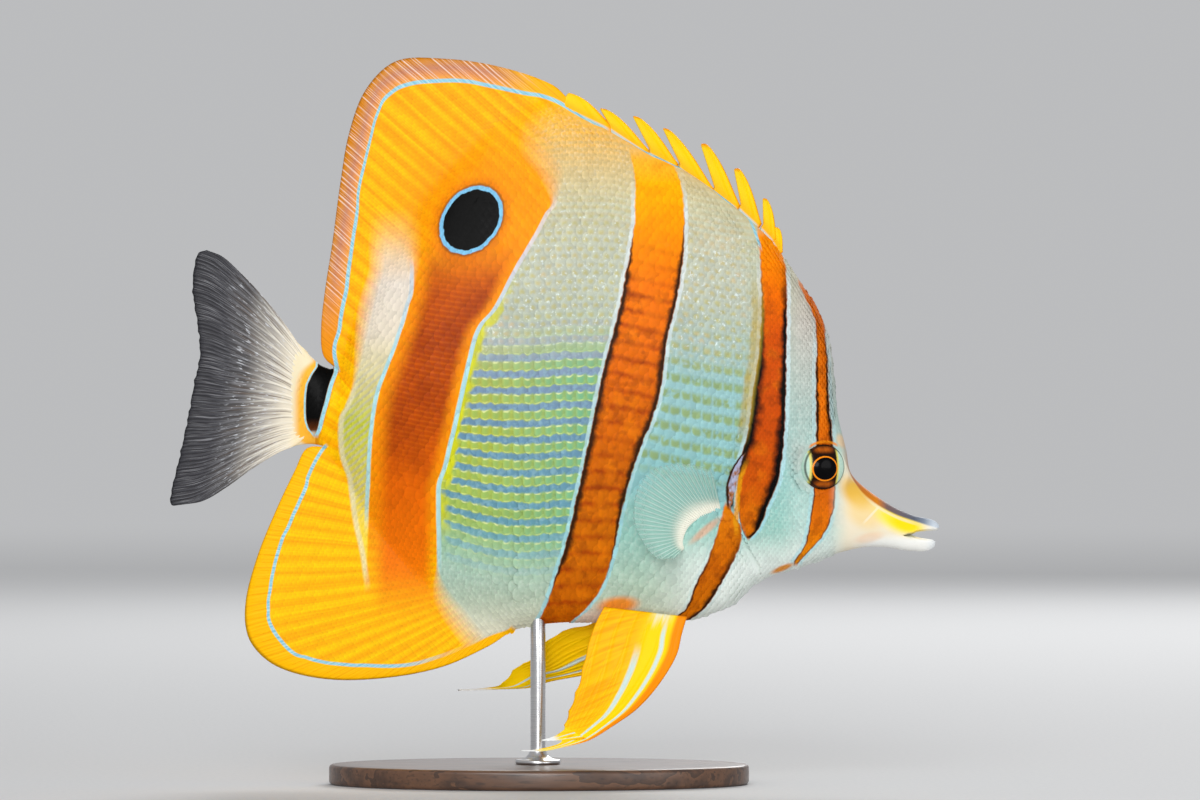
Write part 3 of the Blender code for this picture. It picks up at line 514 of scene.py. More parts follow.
def build_skin(material):
    """The skin's mesh: rings around the body, which split into the two jaws."""
    rings = skin_rings()
    count = len(rings[0])
    shapes = []
    for rows in rings:
        relief = skin_relief(rows)
        strength = np.clip(rows[:, 1] / 1.5, 0.0, 1.0)
        rows = rows.copy()
        rows[:, 1] = np.maximum(rows[:, 1] + relief * strength, 0.0)
        shapes.append(ring(rows))
    build = bmesh.new()

    def add_ring(shape):
        return [build.verts.new(Vector(point) * MM) for point in shape]

    def skirt(near, far):
        for i in range(len(near)):
            j = (i + 1) % len(near)
            build.faces.new((near[i], near[j], far[j], far[i]))

    def cap(loop):
        size = len(loop)
        for i in range(size // 2):
            corners = [loop[i], loop[i + 1], loop[(size - i - 1) % size], loop[(size - i) % size]]
            build.faces.new(list(dict.fromkeys(corners)))

    loops = [add_ring(shape) for shape in shapes]
    for near, far in zip(loops, loops[1:]):
        skirt(near, far)
    cap(loops[0])
    # The last ring splits at the corner of the mouth into the rings of the two jaws.
    last = rings[-1]
    corner = int(np.argmin(np.abs(last[:, 2] - 49.7)))
    size = len(loops[-1])
    outer = loops[-1]
    jaws = smooth_path([np.concatenate([np.ravel(part) for part in rib]) for rib in JAW_RIBS], 6)
    for upper in (True, False):
        rows_kept = range(0, corner + 1) if upper else range(corner, count)
        near = [outer[i] for i in rows_kept]
        near += [outer[size - i] for i in reversed(rows_kept) if 0 < i < count - 1]
        start = last[rows_kept.start:rows_kept.stop]
        number = len(start)
        for k, jaw in enumerate(jaws[1:]):
            top, low = (jaw[0:2], jaw[2:4]) if upper else (jaw[4:6], jaw[6:8])
            share = 0.5 - 0.5 * np.cos(np.pi * np.linspace(0.0, 1.0, number))
            begun = (start[:, 2] - start[0, 2]) / (start[-1, 2] - start[0, 2])
            settle = min(1.0, (k + 1) / 8)
            share = begun * (1 - settle) + share * settle
            points = top[None] * (1 - share[:, None]) + low[None] * share[:, None]
            whole_top, whole_low = jaw[1], jaw[7]
            t = (2 * points[:, 1] - whole_top - whole_low) / (whole_top - whole_low)
            half = jaw[8] * np.sqrt(np.maximum(1.0 - t * t, 0.0))
            lip = points[:, 1] - points[-1, 1] if upper else points[0, 1] - points[:, 1]
            lip_size = 0.55 * min(1.0, (k + 1) / 4)
            rounding = np.sqrt(np.clip(1 - (1 - np.clip(lip / lip_size, 0.0, 1.0)) ** 2, 0.05,
                                       1.0))
            half = half * rounding
            half[0 if upper else -1] = 0.0
            loop_rows = np.stack([points[:, 0], half, points[:, 1]], axis=1)
            right = loop_rows * np.array([1.0, -1.0, 1.0])
            left = loop_rows[1:][::-1] if upper else loop_rows[:-1][::-1]
            far = add_ring(np.concatenate([right, left]))
            skirt(near, far)
            near = far
        build.faces.new(near)
    bmesh.ops.recalc_face_normals(build, faces=build.faces)
    mesh = bpy.data.meshes.new("skin")
    build.to_mesh(mesh)
    build.free()
    return add_object("skin", mesh, material)


# Markings.  Edges of the bands are curves x over z; lines along the fins are radii over
# an angle about a middle point.
EYE_BAND_REAR = [(44.6, 47.8), (48.6, 50.2), (53.4, 51.2), (58.6, 51.8), (69.2, 52.2),
                 (83.2, 52.2), (88.0, 52.4), (92.0, 52.2), (94.0, 51.6), (97.0, 50.3),
                 (99.6, 48.9)]
EYE_BAND_FRONT = [(44.2, 48.6), (46.8, 51.0), (49.6, 53.4), (53.4, 55.2), (58.6, 56.0),
                  (70.4, 55.4), (76.2, 54.8), (84.4, 54.5), (90.4, 54.1), (94.0, 54.0),
                  (99.6, 53.6)]
NAPE_BAND_REAR = [(49.0, 38.6), (50.4, 37.8), (54.6, 36.8), (58.6, 36.6), (63.6, 37.0),
                  (70.4, 38.6), (79.8, 39.8), (88.0, 41.0), (96.2, 41.4), (103.2, 41.2),
                  (109.6, 40.6)]
NAPE_BAND_FRONT = [(49.0, 38.8), (51.6, 41.0), (56.2, 42.8), (61.0, 44.6), (65.6, 45.4),
                   (73.8, 46.0), (83.2, 46.2), (100.8, 46.4), (105.6, 45.8)]
BREAST_BAND_REAR = [(32.4, 22.8), (33.8, 24.8), (35.6, 26.6), (40.8, 28.6), (43.8, 30.2),
                    (49.6, 32.2), (52.4, 33.0), (56.2, 34.0)]
BREAST_BAND_FRONT = [(32.6, 26.8), (35.6, 30.4), (40.0, 33.2), (42.8, 34.8), (45.8, 36.2),
                     (48.4, 37.2), (50.0, 37.4), (53.0, 36.2), (56.2, 34.8)]
MID_BAND_REAR = [(32.4, -3.2), (35.2, -1.8), (41.6, 0.4), (48.0, 2.4), (54.8, 4.0), (68.6, 7.0),
                 (82.4, 9.8), (94.8, 13.0), (102.2, 14.4), (108.4, 15.6), (114.6, 16.2),
                 (119.4, 16.2), (126.8, 15.0)]
MID_BAND_FRONT = [(32.4, 3.2), (35.6, 6.8), (39.8, 9.6), (45.8, 11.6), (56.8, 14.0), (67.8, 17.4),
                  (73.2, 19.6), (80.2, 21.4), (88.0, 22.4), (98.6, 24.8), (106.0, 25.8),
                  (112.0, 26.0), (119.4, 25.4), (126.8, 21.6)]
REAR_BAND_REAR = [(39.6, -37.8), (47.2, -37.4), (60.8, -36.8), (71.2, -36.0), (76.6, -35.2),
                  (82.4, -33.4), (88.2, -31.2), (95.4, -29.0), (101.2, -28.0), (107.0, -28.4)]
REAR_BAND_FRONT = [(22.0, -10.0), (26.0, -14.0), (30.8, -17.6), (34.8, -20.4), (38.8, -22.6),
                   (42.0, -23.2), (52.2, -23.2), (58.2, -23.2), (64.0, -21.8), (77.8, -18.6),
                   (85.2, -17.0), (90.6, -15.4), (95.0, -12.0), (102.2, -8.2), (108.4, -4.6),
                   (114.0, -1.6), (117.0, 0.0), (120.8, -0.4), (128.8, -3.6), (133.2, -1.8),
                   (136.0, 1.2), (140.0, 6.0)]
WEDGE_REAR = [(39.6, -37.8), (47.2, -39.0), (54.2, -40.4), (60.8, -41.2), (70.6, -43.0),
              (75.4, -41.6), (80.6, -39.8), (94.2, -37.8), (103.0, -35.4)]
STALK_BAR_REAR = [(69.2, -47.6), (70.2, -48.2), (71.8, -49.2), (75.0, -49.6), (78.8, -49.4),
                  (80.8, -48.8), (83.6, -47.2)]
STALK_BAR_FRONT = [(69.6, -48.0), (71.2, -47.2), (73.6, -46.6), (76.4, -45.8), (79.6, -45.0),
                   (82.4, -44.0)]
STALK_GOLD_REAR = [(68.0, -49.6), (70.4, -51.8), (75.0, -51.8), (79.6, -51.4), (84.8, -48.0)]
DORSAL_MIDDLE = (-16.8, 90.8)
DORSAL_LINE = [(-106, 27.7), (-99, 27.5), (-88, 26.0), (-76, 25.8), (-66, 26.8), (-49, 30.6),
               (-38, 36.1), (-29, 42.0), (-23, 47.2), (-19, 49.8), (-14, 50.7), (-8, 50.3),
               (-1, 49.8), (5, 49.0), (12, 48.6), (18, 49.0), (29, 48.3), (35, 49.1), (43, 49.8),
               (49, 51.6), (56, 54.8), (64, 57.7), (68, 59.9), (73, 60.1)]
ANAL_MIDDLE = (-30.8, 48.8)
ANAL_LINE = [(-141, 24.0), (-132, 23.1), (-124, 22.3), (-114, 21.5), (-103, 21.9), (-91, 23.5),
             (-79, 25.5), (-70, 27.5), (-62, 29.8), (-54, 31.1), (-47, 31.2), (-39, 30.1),
             (-32, 28.8), (-21, 26.8), (-9, 25.5), (7, 24.9), (18, 24.6), (35, 25.2), (51, 27.9)]
ANAL_FAN = (0.6, 44.3)    # where the lines of the anal fin's rays meet
DORSAL_LIE = 41.0         # degrees by which the dorsal fin's rays rise backwards
ROW_PITCH = 3.28          # one pale and one grey row of scales
SCALE_PITCH = 2.1
BODY_HEIGHTS = 20.0, 145.0    # the height of the lowest and the highest marking
# Height of a scale row above its place at the middle of the flank, over x.
ROW_RISE = [(-60.0, 10.8), (-40.0, 5.8), (-30.0, 3.4), (-22.0, 1.8), (-14.0, 0.9), (-6.0, 0.8),
            (4.0, 1.4), (9.0, 1.4), (16.0, 0.4), (24.0, -1.4), (36.0, -3.6), (46.0, -4.8),
            (60.0, -5.6)]


def paint_markings():
    """The node group that turns a place on the fish into its colour."""
    tree = bpy.data.node_groups.new("fish_markings", "ShaderNodeTree")
    tree.interface.new_socket("Colour", in_out="OUTPUT", socket_type="NodeSocketColor")
    m = Mixer(tree)
    place = m.place()
    true_x, z = m.measure(place, 1000, 0, 0), m.measure(place, 0, 0, 1000)
    ragged = m.noise(place, 700.0, 1.0)
    soft_patch = m.noise(place, 90.0, 3.0)
    x = (ragged - 0.5) * 0.6 + true_x
    line = (soft_patch - 0.5) * 0.6 + true_x

    def edge(points):
        return z.curve(*BODY_HEIGHTS, points)

    def by_height(*stops):
        return z.ramp(*BODY_HEIGHTS, *stops)

    # Ground: pale mint below, warmer and pinkish towards the back.
    m.colour = by_height((24, 220, 196, 150), (31, 210, 208, 184), (38, 178, 198, 176),
                         (50, 152, 200, 188), (63, 148, 197, 192), (77, 162, 188, 180),
                         (92, 172, 184, 166), (104, 190, 195, 170), (115, 200, 199, 164),
                         (123, 216, 190, 132), (130, 242, 186, 80), (136, 252, 182, 36))
    fore = edge(REAR_BAND_FRONT)    # behind it all is golden or belongs to the rear band
    # The head is paler and a little greyer.
    head_tone = z.ramp(40, 110, (42, 206, 216, 206), (52, 184, 214, 206), (62, 170, 208, 200),
                       (76, 174, 192, 184), (92, 196, 190, 180), (104, 202, 194, 172))
    head_tone = m.blend(soft_patch.step(0.5, 0.7) * 0.5, head_tone, (196, 190, 182))
    m.lay(head_tone, x.step(44, 50))
    speckle = m.noise(place, 1500.0, 2.0)
    m.lay((236, 240, 232), speckle.step(0.45, 0.75) * 0.2)
    m.lay((120, 150, 150), speckle.step(0.5, 0.25) * 0.12)
    m.lay((236, 243, 238), true_x.step(16, 34) * z.step(52, 42) * 0.9)
    m.lay((236, 206, 190), z.step(37, 33) * true_x.within(2, 14, 5) * 0.7)

    # Rows of scales on the flank: yellow-green and blue-grey in turn, with pale dashes.
    rise = true_x.curve(-60, 60, ROW_RISE)
    rise = rise + true_x.step(-6, -28) * z.step(80, 48) * 3
    level = z - rise
    column = (((ragged - 0.5) * 0.5 + true_x) / SCALE_PITCH).fract()
    hump = (column * math.pi).math("SINE")
    wave = level + (hump * 0.28 + (ragged - 0.5) * 0.9)
    phase = (wave / ROW_PITCH).fract()
    fingers = (m.noise(place, 330, 1) - 0.5) * 5 + (true_x - fore)
    clear = fingers.step(1.2, 2.4)
    grey = phase.within(0.55, 0.99, 0.22) * clear
    dash = (phase.within(0.47, 0.56, 0.08).most(phase.within(0, 0.08, 0.06) * 0.6)
            * column.within(0.25, 0.75, 0.3))
    beyond_mid = true_x.step(edge(MID_BAND_FRONT), edge(MID_BAND_FRONT) + 1)
    rows_high = level.step(38, 52) * level.step(98, 79)
    strong = rows_high * (1 - beyond_mid) * 0.95
    to_right = true_x.step(-18, 8)
    outer = m.blend(to_right, by_height((50, 160, 188, 90), (70, 184, 190, 50), (84, 178, 182, 88),
                                        (95, 176, 178, 128)), (144, 182, 110))
    inner = m.blend(to_right, (148, 182, 86), (98, 178, 146))
    heart = column.within(0.2, 0.8, 0.4) * phase.within(0.1, 0.52, 0.25) * z.step(92, 80)
    slate = by_height((50, 98, 152, 168), (70, 102, 142, 170), (90, 136, 150, 178))
    slate = m.blend(m.noise(place, 900, 2).step(0.45, 0.7) * 0.5, slate, (144, 182, 196))
    rows = m.blend(grey, m.blend(heart * 0.65, outer, inner), slate)
    m.lay(rows, strong)
    m.lay((232, 238, 160), dash * strong * clear * 0.8)
    # In front of the middle band only small olive dabs are left of the rows.
    calm = beyond_mid * true_x.step(42, 36) * level.step(54, 60) * level.step(100, 88)
    m.lay((138, 190, 196), calm * 0.65)
    dab = column.within(0.08, 0.94, 0.4) * phase.within(0.03, 0.53, 0.34) * ragged.step(0.2, 0.5)
    m.lay((142, 164, 98), dab * calm * level.step(61, 66) * 0.85)
    # Above the rows the scales are dots of lilac and olive, finer near the back.
    shifted = ((level / (ROW_PITCH / 2)).math("FLOOR") * 0.5 + true_x / SCALE_PITCH).fract()
    cell = shifted.within(0.2, 0.8, 0.5) * (wave / (ROW_PITCH / 2)).fract().within(0.2, 0.8, 0.5)
    dots_high = level.step(82, 92) * level.step(122, 108) * true_x.step(42, 36)
    dot = m.blend(soft_patch.step(0.42, 0.6), (186, 178, 118), (204, 184, 146))
    m.lay(dot, cell * dots_high * 0.75)
    m.lay((186, 192, 184), (1 - cell) * dots_high * 0.5)
    # Small white flecks over the dots are painted glints of light on the scales.
    m.lay((226, 238, 240), speckle.step(0.6, 0.72) * dots_high * 0.6)
    fine = (level / 1.3).fract().within(0.3, 0.8, 0.4)
    back_high = level.step(104, 114) * level.step(136, 126)
    m.lay((196, 176, 128), fine * back_high * 0.35)

    # Behind the rear band all is golden: the base of the fins and the tail stalk.
    ahead = line - fore
    softness = z.step(113, 126) * 7 + z.step(45, 33) * 6
    gold = (0.5 - ahead / (softness + 0.35)).share()
    lie = math.radians(DORSAL_LIE)
    across_up = true_x * math.sin(lie) + z * math.cos(lie)
    fan_x = true_x - ANAL_FAN[0]
    fan_z = z - ANAL_FAN[1]
    across_low = fan_z.math("ARCTAN2", fan_x * -1) * 48
    upper_fin = z.step(78, 84)
    across = m.node("ShaderNodeMix", {0: upper_fin, 2: across_low, 3: across_up})
    drift = m.noise(place, 40.0, 1.0)
    broad = m.stripes(across * 0.42 + drift * 2, 1)
    streak = m.stripes(across * 2.6 + drift * 5, 2)
    wave = (across * (2 * math.pi / 2.8) + broad * 5).math("SINE")
    tone = wave * 0.2 + ((streak - 0.5) * 0.6 + 0.5)
    tone = tone + (1 - upper_fin) * 0.14
    yellow = tone.ramp(0, 1, (0.1, 249, 150, 2), (0.5, 254, 178, 2), (0.95, 255, 204, 4))
    near_spot = (true_x + 13).length(z - 113)
    yellow = m.blend(near_spot.step(22, 8) * 0.8, yellow, (250, 142, 3))
    m.lay(yellow, gold)

    # Wedge: a pale wedge between the golden fin and the rear band.
    hind = edge(REAR_BAND_REAR)
    wedge_rear = edge(WEDGE_REAR)
    wedge_soft = z.step(76, 96) * 3 + 0.5
    wedge = ((line - wedge_rear) / wedge_soft + 0.5).share()
    blur = z.step(97, 108) * 2.2 + 0.2
    wedge = wedge * line.step(hind + blur, hind - blur) * z.step(116, 104) * z.step(37, 41)
    pale = by_height((40, 252, 214, 60), (52, 247, 217, 70), (60, 216, 206, 96),
                     (72, 186, 194, 60), (79, 206, 200, 132), (90, 222, 214, 196),
                     (100, 226, 219, 208), (110, 240, 200, 140))
    slant = ((z - true_x * 0.8 + ragged * 0.6) / 1.45).fract()
    pale = m.blend(slant.within(0.3, 0.7, 0.3) * z.step(50, 60) * z.step(88, 80) * 0.5, pale,
                   (172, 176, 178))
    m.lay(pale, wedge * 0.95)
    rim = (line - wedge_rear).within(0, 1, 0.6) * z.step(84, 76) * z.step(38, 44)
    m.lay((226, 216, 176), rim * 0.7)

    # The rear band, darkest reddish brown in its middle.
    inside = (line - hind).step(0.2, 4.6) * (line - fore).step(-0.3, -3.2)
    inside = inside * z.step(112, 100) * z.step(30, 44)
    band = by_height((34, 250, 140, 3), (46, 242, 118, 4), (60, 218, 96, 3), (72, 178, 70, 3),
                     (90, 172, 66, 3), (98, 184, 76, 3), (108, 228, 120, 3))
    fine_row = ((level + ragged * 0.4) / 1.05).fract().within(0.35, 0.75, 0.3)
    blotch = m.noise(place, 140, 3).step(0.42, 0.66)
    band = m.blend(fine_row * 0.28, band, (226, 108, 4))
    band = m.blend(blotch * 0.45 * z.step(52, 66), band, (140, 46, 3))
    flank = (line.step(hind, hind + 0.4) * line.step(fore, fore - 0.4) * z.step(110, 96)
             * z.step(36, 56))
    m.lay((242, 130, 4), flank * 0.8)
    m.lay(band, inside)
    blue_white = by_height((50, 176, 214, 212), (84, 168, 214, 222), (104, 206, 204, 208),
                           (120, 226, 206, 184))
    front_line = (line - fore).within(-0.15, 0.75, 0.3) * z.step(41, 47) * z.step(119, 114)
    lemon = ((1 - clear) * (line - fore).step(0.3, 0.8) * (line - fore).step(4.4, 2.4)
             * z.step(48, 56) * z.step(106, 90))
    m.lay((210, 208, 20), lemon * 0.85)
    m.lay(blue_white, front_line)
    rear_line = (line - hind).within(-0.7, 0.1, 0.3) * z.step(49, 58) * z.step(106, 101)
    m.lay(blue_white, rear_line)

    # The middle, nape, breast and eye bands: rusty orange with dark rims and pale lines.
    def rusty_band(rear, front, low, high, rim, rear_rim, front_rim, row_tone, pale_line, *stops):
        """Paints one band, from and to these heights, with rims so wide and these tones."""
        behind_by, before_by = x - rear, front - x
        window = z.step(*low) * z.step(*high)
        outer = behind_by.within(-0.8, 0, 0.3).most(before_by.within(-0.8, 0, 0.3))
        m.lay(by_height((50, 160, 214, 222), (100, 214, 222, 222)),
              outer * window * z.step(high[1] - 2, high[1] - 11) * pale_line)
        mask = behind_by.step(-0.2, 0.2) * before_by.step(-0.2, 0.2) * window
        dark_row = (phase.within(0.58, 0.88, 0.3) * z.step(112, 96)
                    * (m.noise(place, 160, 2).step(0.4, 0.6) * 0.6 + 0.4))
        tones = m.blend(dark_row * row_tone, by_height(*stops), (164, 60, 3))
        tones = m.blend(m.noise(place, 260, 3).step(0.5, 0.7) * 0.35, tones, (240, 130, 6))
        tones = m.blend(m.noise(place, 430, 3).step(0.5, 0.36) * z.step(110, 92) * 0.35, tones,
                        (128, 46, 4))
        m.lay(tones, mask)
        tatter = m.noise(place, 520, 3) * 1.8 + 0.1
        dark = [gap.step(wide * tatter, wide * tatter * 0.25)
                for gap, wide in ((behind_by, rear_rim), (before_by, front_rim))]
        rim_window = z.step(high[1] - 1, high[1] - 16) * z.step(*low)
        m.lay(rim, dark[0].most(dark[1]) * mask * rim_window)

    rusty_band(edge(MID_BAND_REAR), edge(MID_BAND_FRONT), (30, 31.5), (128.5, 124.5), (52, 26, 6),
               z.step(36, 50) * z.step(112, 96) * 1.8, z.step(40, 62) * z.step(114, 98) * 1.6,
               0.8, 0.8, (34, 196, 98, 3), (50, 204, 106, 4), (66, 206, 100, 4),
               (84, 222, 104, 4), (100, 238, 116, 4), (110, 252, 146, 3), (120, 254, 178, 5),
               (128, 250, 182, 60))
    rear_rim = z.curve(50, 98, [(50, 0.1), (57, 0.3), (62, 1.3), (69, 2.8), (80, 2.5), (88, 1.3),
                                (97, 0.4)])
    front_rim = z.curve(49, 108, [(49, 1.4), (53, 2.2), (58, 2.7), (66, 2.5), (75, 2), (88, 1.5),
                                  (100, 1.2), (107, 0.5)])
    rusty_band(edge(NAPE_BAND_REAR), edge(NAPE_BAND_FRONT), (48.6, 49.6), (113, 109), (8, 5, 4),
               rear_rim, front_rim, 0.15, 0.85, (50, 212, 112, 3), (60, 200, 84, 4),
               (72, 196, 74, 4), (90, 206, 80, 4), (98, 238, 110, 4), (108, 252, 148, 3))
    # An olive stain clouds the ground behind the nape band where its black rim begins.
    stain = ((x - edge(NAPE_BAND_REAR)).within(-2, 0.4, 0.9) * z.step(66, 74) * z.step(104, 94)
             * (ragged * 0.6 + 0.3))
    m.lay((184, 156, 52), stain)
    rusty_band(edge(BREAST_BAND_REAR), edge(BREAST_BAND_FRONT), (30, 31), (57, 55.4), (48, 22, 6),
               0.6, 1.3, 0, 0.15, (32, 214, 116, 3), (44, 196, 96, 3), (54, 220, 120, 4))
    eye_rim = z.curve(44, 93, [(44, 0.3), (60, 0.35), (67, 1), (74, 0.9), (84, 0.5), (92, 0.3)])
    rusty_band(edge(EYE_BAND_REAR), edge(EYE_BAND_FRONT), (43.4, 44.4), (104.5, 97.5), (8, 5, 4),
               eye_rim, eye_rim, 0, 0.5, (44, 232, 140, 6), (52, 222, 112, 5), (62, 196, 84, 5),
               (76, 238, 122, 12), (90, 214, 106, 12))
    # The lid shines orange where the band meets the eye.
    lid_x, lid_z = true_x - EYE_X, z - EYE_Z
    lid = lid_x.length(lid_z).within(4.75, 5.25, 0.3)
    m.lay((250, 144, 16), lid * lid_z.step(2.6, 3.6) * lid_x.within(-3, 2.6, 0.8) * 0.85)
    # A lilac sliver of the gill opening shows between the nape and breast bands.
    opening = z.curve(54, 67, [(54, 35), (58, 35.3), (61.5, 35.9), (64, 36.8), (67, 38.4)])
    slit = true_x - opening - (ragged - 0.5) * 0.6
    slit_wide = z.curve(54, 67, [(54.8, 0), (57, 0.5), (60.5, 0.85), (64, 0.5), (66.4, 0)])
    slit_high = z.step(54.8, 56) * z.step(67, 65.8)
    # Dark brown along the rear side of the opening is painted shade in the gill slit.
    slit_shade = (slit + slit_wide).step(-0.6, -0.2)
    m.lay((56, 30, 12), slit_shade * slit.step(0.9, 0.3) * slit_high)
    lilac = m.blend(m.noise(place, 520, 2).step(0.4, 0.6), (166, 104, 60), (172, 174, 200))
    m.lay(lilac, slit.step(slit_wide * -1, slit_wide * -0.6)
          * slit.step(slit_wide, slit_wide * 0.5) * slit_high)
    m.lay((224, 150, 14), slit.within(0.8, 1.8, 0.5) * z.step(49, 52) * z.step(66, 61) * 0.9)

    def turned(dx, dz, degrees, size_x, size_z):
        """How far a place lies from a middle, as a share of an oval's size."""
        angle = math.radians(degrees)
        u = dx * (math.cos(angle) / size_x) + dz * (math.sin(angle) / size_x)
        v = dz * (math.cos(angle) / size_z) - dx * (math.sin(angle) / size_z)
        return u.length(v)

    def blob(tone, share, at_x, at_z, size_x, size_z, degrees=0.0):
        far = turned(true_x - at_x, z - at_z, degrees, size_x, size_z)
        m.lay(tone, far.step(1, 0.35) * share)

    # A pink line under the root of the pectoral fin is a painted shadow; orange over the pelvic
    # one and at the throat.
    blob((226, 166, 132), 0.7, 30.2, 50.9, 5.4, 1.1, 40)
    blob((240, 142, 24), 0.95, 12.8, 35.9, 5.4, 2.3, 6)
    blob((236, 152, 40), 0.95, 45.6, 43.2, 3.2, 0.8, 23)

    # Snout: cream, with ochre before the eye, bright yellow before the mouth, a dark ridge.
    m.lay((238, 226, 200), true_x.step(54.4, 59.6) * z.step(70, 62))
    m.lay((246, 246, 240), true_x.step(58, 64) * z.step(50.6, 48.4))
    blob((232, 178, 34), 0.9, 60.5, 58.2, 5.4, 3.6, -46)
    blob((240, 204, 120), 0.6, 62, 54.2, 5.6, 4, -30)
    blob((254, 226, 20), 0.9, 68.9, 52.9, 7.2, 3.4, -26)
    blob((253, 218, 0), 0.9, 70.2, 52, 4.6, 2, -20)
    blob((240, 186, 130), 0.4, 62.9, 49.3, 4, 1.4, 12)
    # A grey spot at the corner of the mouth is painted shade in the gape.
    blob((132, 150, 156), 0.55, 71.4, 49.8, 1.8, 0.7)
    blob((244, 202, 150), 0.7, 57.4, 68.6, 1.3, 2.2, 30)
    seam = true_x.curve(57, 74, [(57, 65.8), (58.8, 62), (61, 59.6), (65.2, 56.1), (69.4, 53.9),
                                 (73.8, 51.9)])
    m.lay((248, 244, 236), (z - seam).within(-0.28, 0.28, 0.2) * true_x.step(58, 59)
          * true_x.step(73.6, 71) * 0.16)
    dx, dz = true_x - 61.9, z - 52.4
    branch, reach = dx * 0.72 - dz * 0.69, dx * 0.69 + dz * 0.72
    m.lay((246, 240, 226), branch.within(-0.22, 0.22, 0.2) * reach.within(0, 4.2, 1.6) * 0.45)
    ridge_top = true_x.curve(57, 78, [(57, 67.4), (58.4, 63.8), (60.2, 60.1), (62.8, 57.2),
                                      (67.6, 54.2), (72.2, 52.5), (77.2, 51)])
    over = z - ridge_top
    m.lay((238, 226, 200),
          over.within(-0.7, -0.1, 0.3) * true_x.step(60, 66) * true_x.step(74, 70) * 0.55)
    ridge = true_x.ramp(56, 78, (58, 150, 112, 96), (61.5, 196, 112, 30), (64.5, 214, 126, 24),
                        (66.5, 120, 96, 92), (72, 92, 98, 112), (76, 150, 164, 182))
    m.lay(ridge, over.step(-0.2, 0.3) * true_x.step(56.6, 60.2))
    m.lay((226, 234, 240), true_x.step(73.6, 76.4) * 0.6)

    # Fins: outside the blue line they are mauve with pale rays above, orange below.
    def fin_line(middle, points, facing):
        dx, dz = line - middle[0], z - middle[1]
        angle = dx.math("ARCTAN2", dz * facing)
        radius = angle.curve(-math.pi, math.pi, [(math.radians(a), r) for a, r in points])
        out = dx.length(dz) - radius
        first, last = math.radians(points[0][0]), math.radians(points[-1][0])
        return out, angle.within(first - 0.02, last + 0.02, 0.04), angle

    rays = streak.step(0.5, 0.72)
    rays_dark = streak.step(0.5, 0.3)
    out_up, span_up, angle_up = fin_line(DORSAL_MIDDLE, DORSAL_LINE, 1.0)
    mauve = out_up.ramp(0, 5, (0.2, 246, 166, 60), (1.4, 224, 146, 84), (2.6, 196, 130, 98),
                        (3.8, 206, 134, 60), (4.8, 208, 128, 16))
    mauve = m.blend(z.step(108, 86), mauve, (236, 146, 14))
    mauve = m.blend(true_x.step(-14, -2), mauve, (250, 180, 8))
    mauve = m.blend(rays * z.step(88, 100) * true_x.step(0, -14) * 0.75, mauve, (240, 214, 200))
    mauve = m.blend(rays_dark * 0.3, mauve, (160, 80, 20))
    m.lay(mauve, out_up.step(0, 0.4) * span_up * true_x.step(40, 36))
    out_low, span_low, angle_low = fin_line(ANAL_MIDDLE, ANAL_LINE, -1.0)
    hem = m.blend(rays_dark * 0.35, (254, 186, 4), (222, 140, 6))
    hem = m.blend(rays * 0.35, hem, (255, 206, 30))
    m.lay(hem, out_low.step(0, 0.4) * span_low)
    blue = m.blend(streak.step(0.35, 0.65), (126, 192, 216), (174, 216, 224))
    line_up = out_up.within(angle_up.step(0.5, 0.9) * 0.25 - 0.42, 0.36, 0.22) * span_up
    line_low = (out_low.within(-0.36, 0.34, 0.22) * span_low
                * (angle_low.step(-0.1, 0.55) * -0.95 + 1))
    m.lay(blue, line_up.most(line_low))

    # Eyespot: a black oval with a light-blue ring and an orange-brown halo.
    size = (ragged - 0.5) * 0.09 + turned(line + 16.5, z - 112.7, 54, 7.42, 5.75)
    m.lay((206, 100, 3), size.step(1.4, 1) * 0.55)
    m.lay((60, 46, 16), size.step(1.1, 1) * 0.6)
    m.lay((126, 192, 228), size.step(1.015, 0.975))
    m.lay((1, 1, 1), size.step(0.895, 0.865))

    # Tail stalk: a black bar between blue lines, gold behind it, orange before it.
    stalk = true_x.step(-41, -42.6) * z.step(67.5, 67.9) * (z + true_x * 0.6).step(57.4, 57)
    bar_front, bar_rear, gold_rear = map(edge, (STALK_BAR_FRONT, STALK_BAR_REAR, STALK_GOLD_REAR))
    m.lay((222, 142, 12), stalk * true_x.step(bar_front + 1.4, bar_front + 0.4))
    cream = true_x.ramp(-56, -50, (-55, 226, 220, 204), (-52, 240, 226, 190))
    behind_gold = true_x.step(gold_rear + 1.2, gold_rear - 0.8) * true_x.step(-47, -48.5)
    gold_bar = true_x.step(bar_rear + 0.1, bar_rear - 0.2) * true_x.step(-46.6, -47.4)
    m.lay((250, 182, 56), gold_bar * stalk)
    m.lay(cream, behind_gold * z.within(67.3, 92, 0.4) * (z + true_x * 0.9).step(17, 21))
    bar = (stalk * true_x.step(bar_rear - 0.1, bar_rear + 0.15)
           * true_x.step(bar_front + 0.15, bar_front - 0.1))
    m.lay(by_height((70.2, 214, 196, 170), (70.8, 92, 44, 14), (73, 1, 1, 1)), bar)
    behind, before = true_x - bar_rear, true_x - bar_front
    lines = before.within(0.05, 0.85, 0.2).most(behind.within(-0.36, 0, 0.2))
    m.lay((160, 214, 228), lines * stalk * z.step(69, 70.2))

    m.end(m.colour)
    return tree


markings = paint_markings()


def fish_paint(name, roughness, coat, bump_scale, bump_depth):
    """Painted resin: the markings, a satin lacquer and a fine skin texture."""
    material, mix = new_material(name)
    mix.wire("Base Color", mix.node("ShaderNodeGroup", node_tree=markings))
    pores = mix.noise(mix.place(), bump_scale, 3.0)
    mix.bump(pores, 0.35, bump_depth)
    mix.wire("Roughness", pores.ramp(0, 1, (0.3, roughness - 0.05), (0.7, roughness + 0.07)))
    mix.lacquer(0.05, coat, 0.2)
    return material


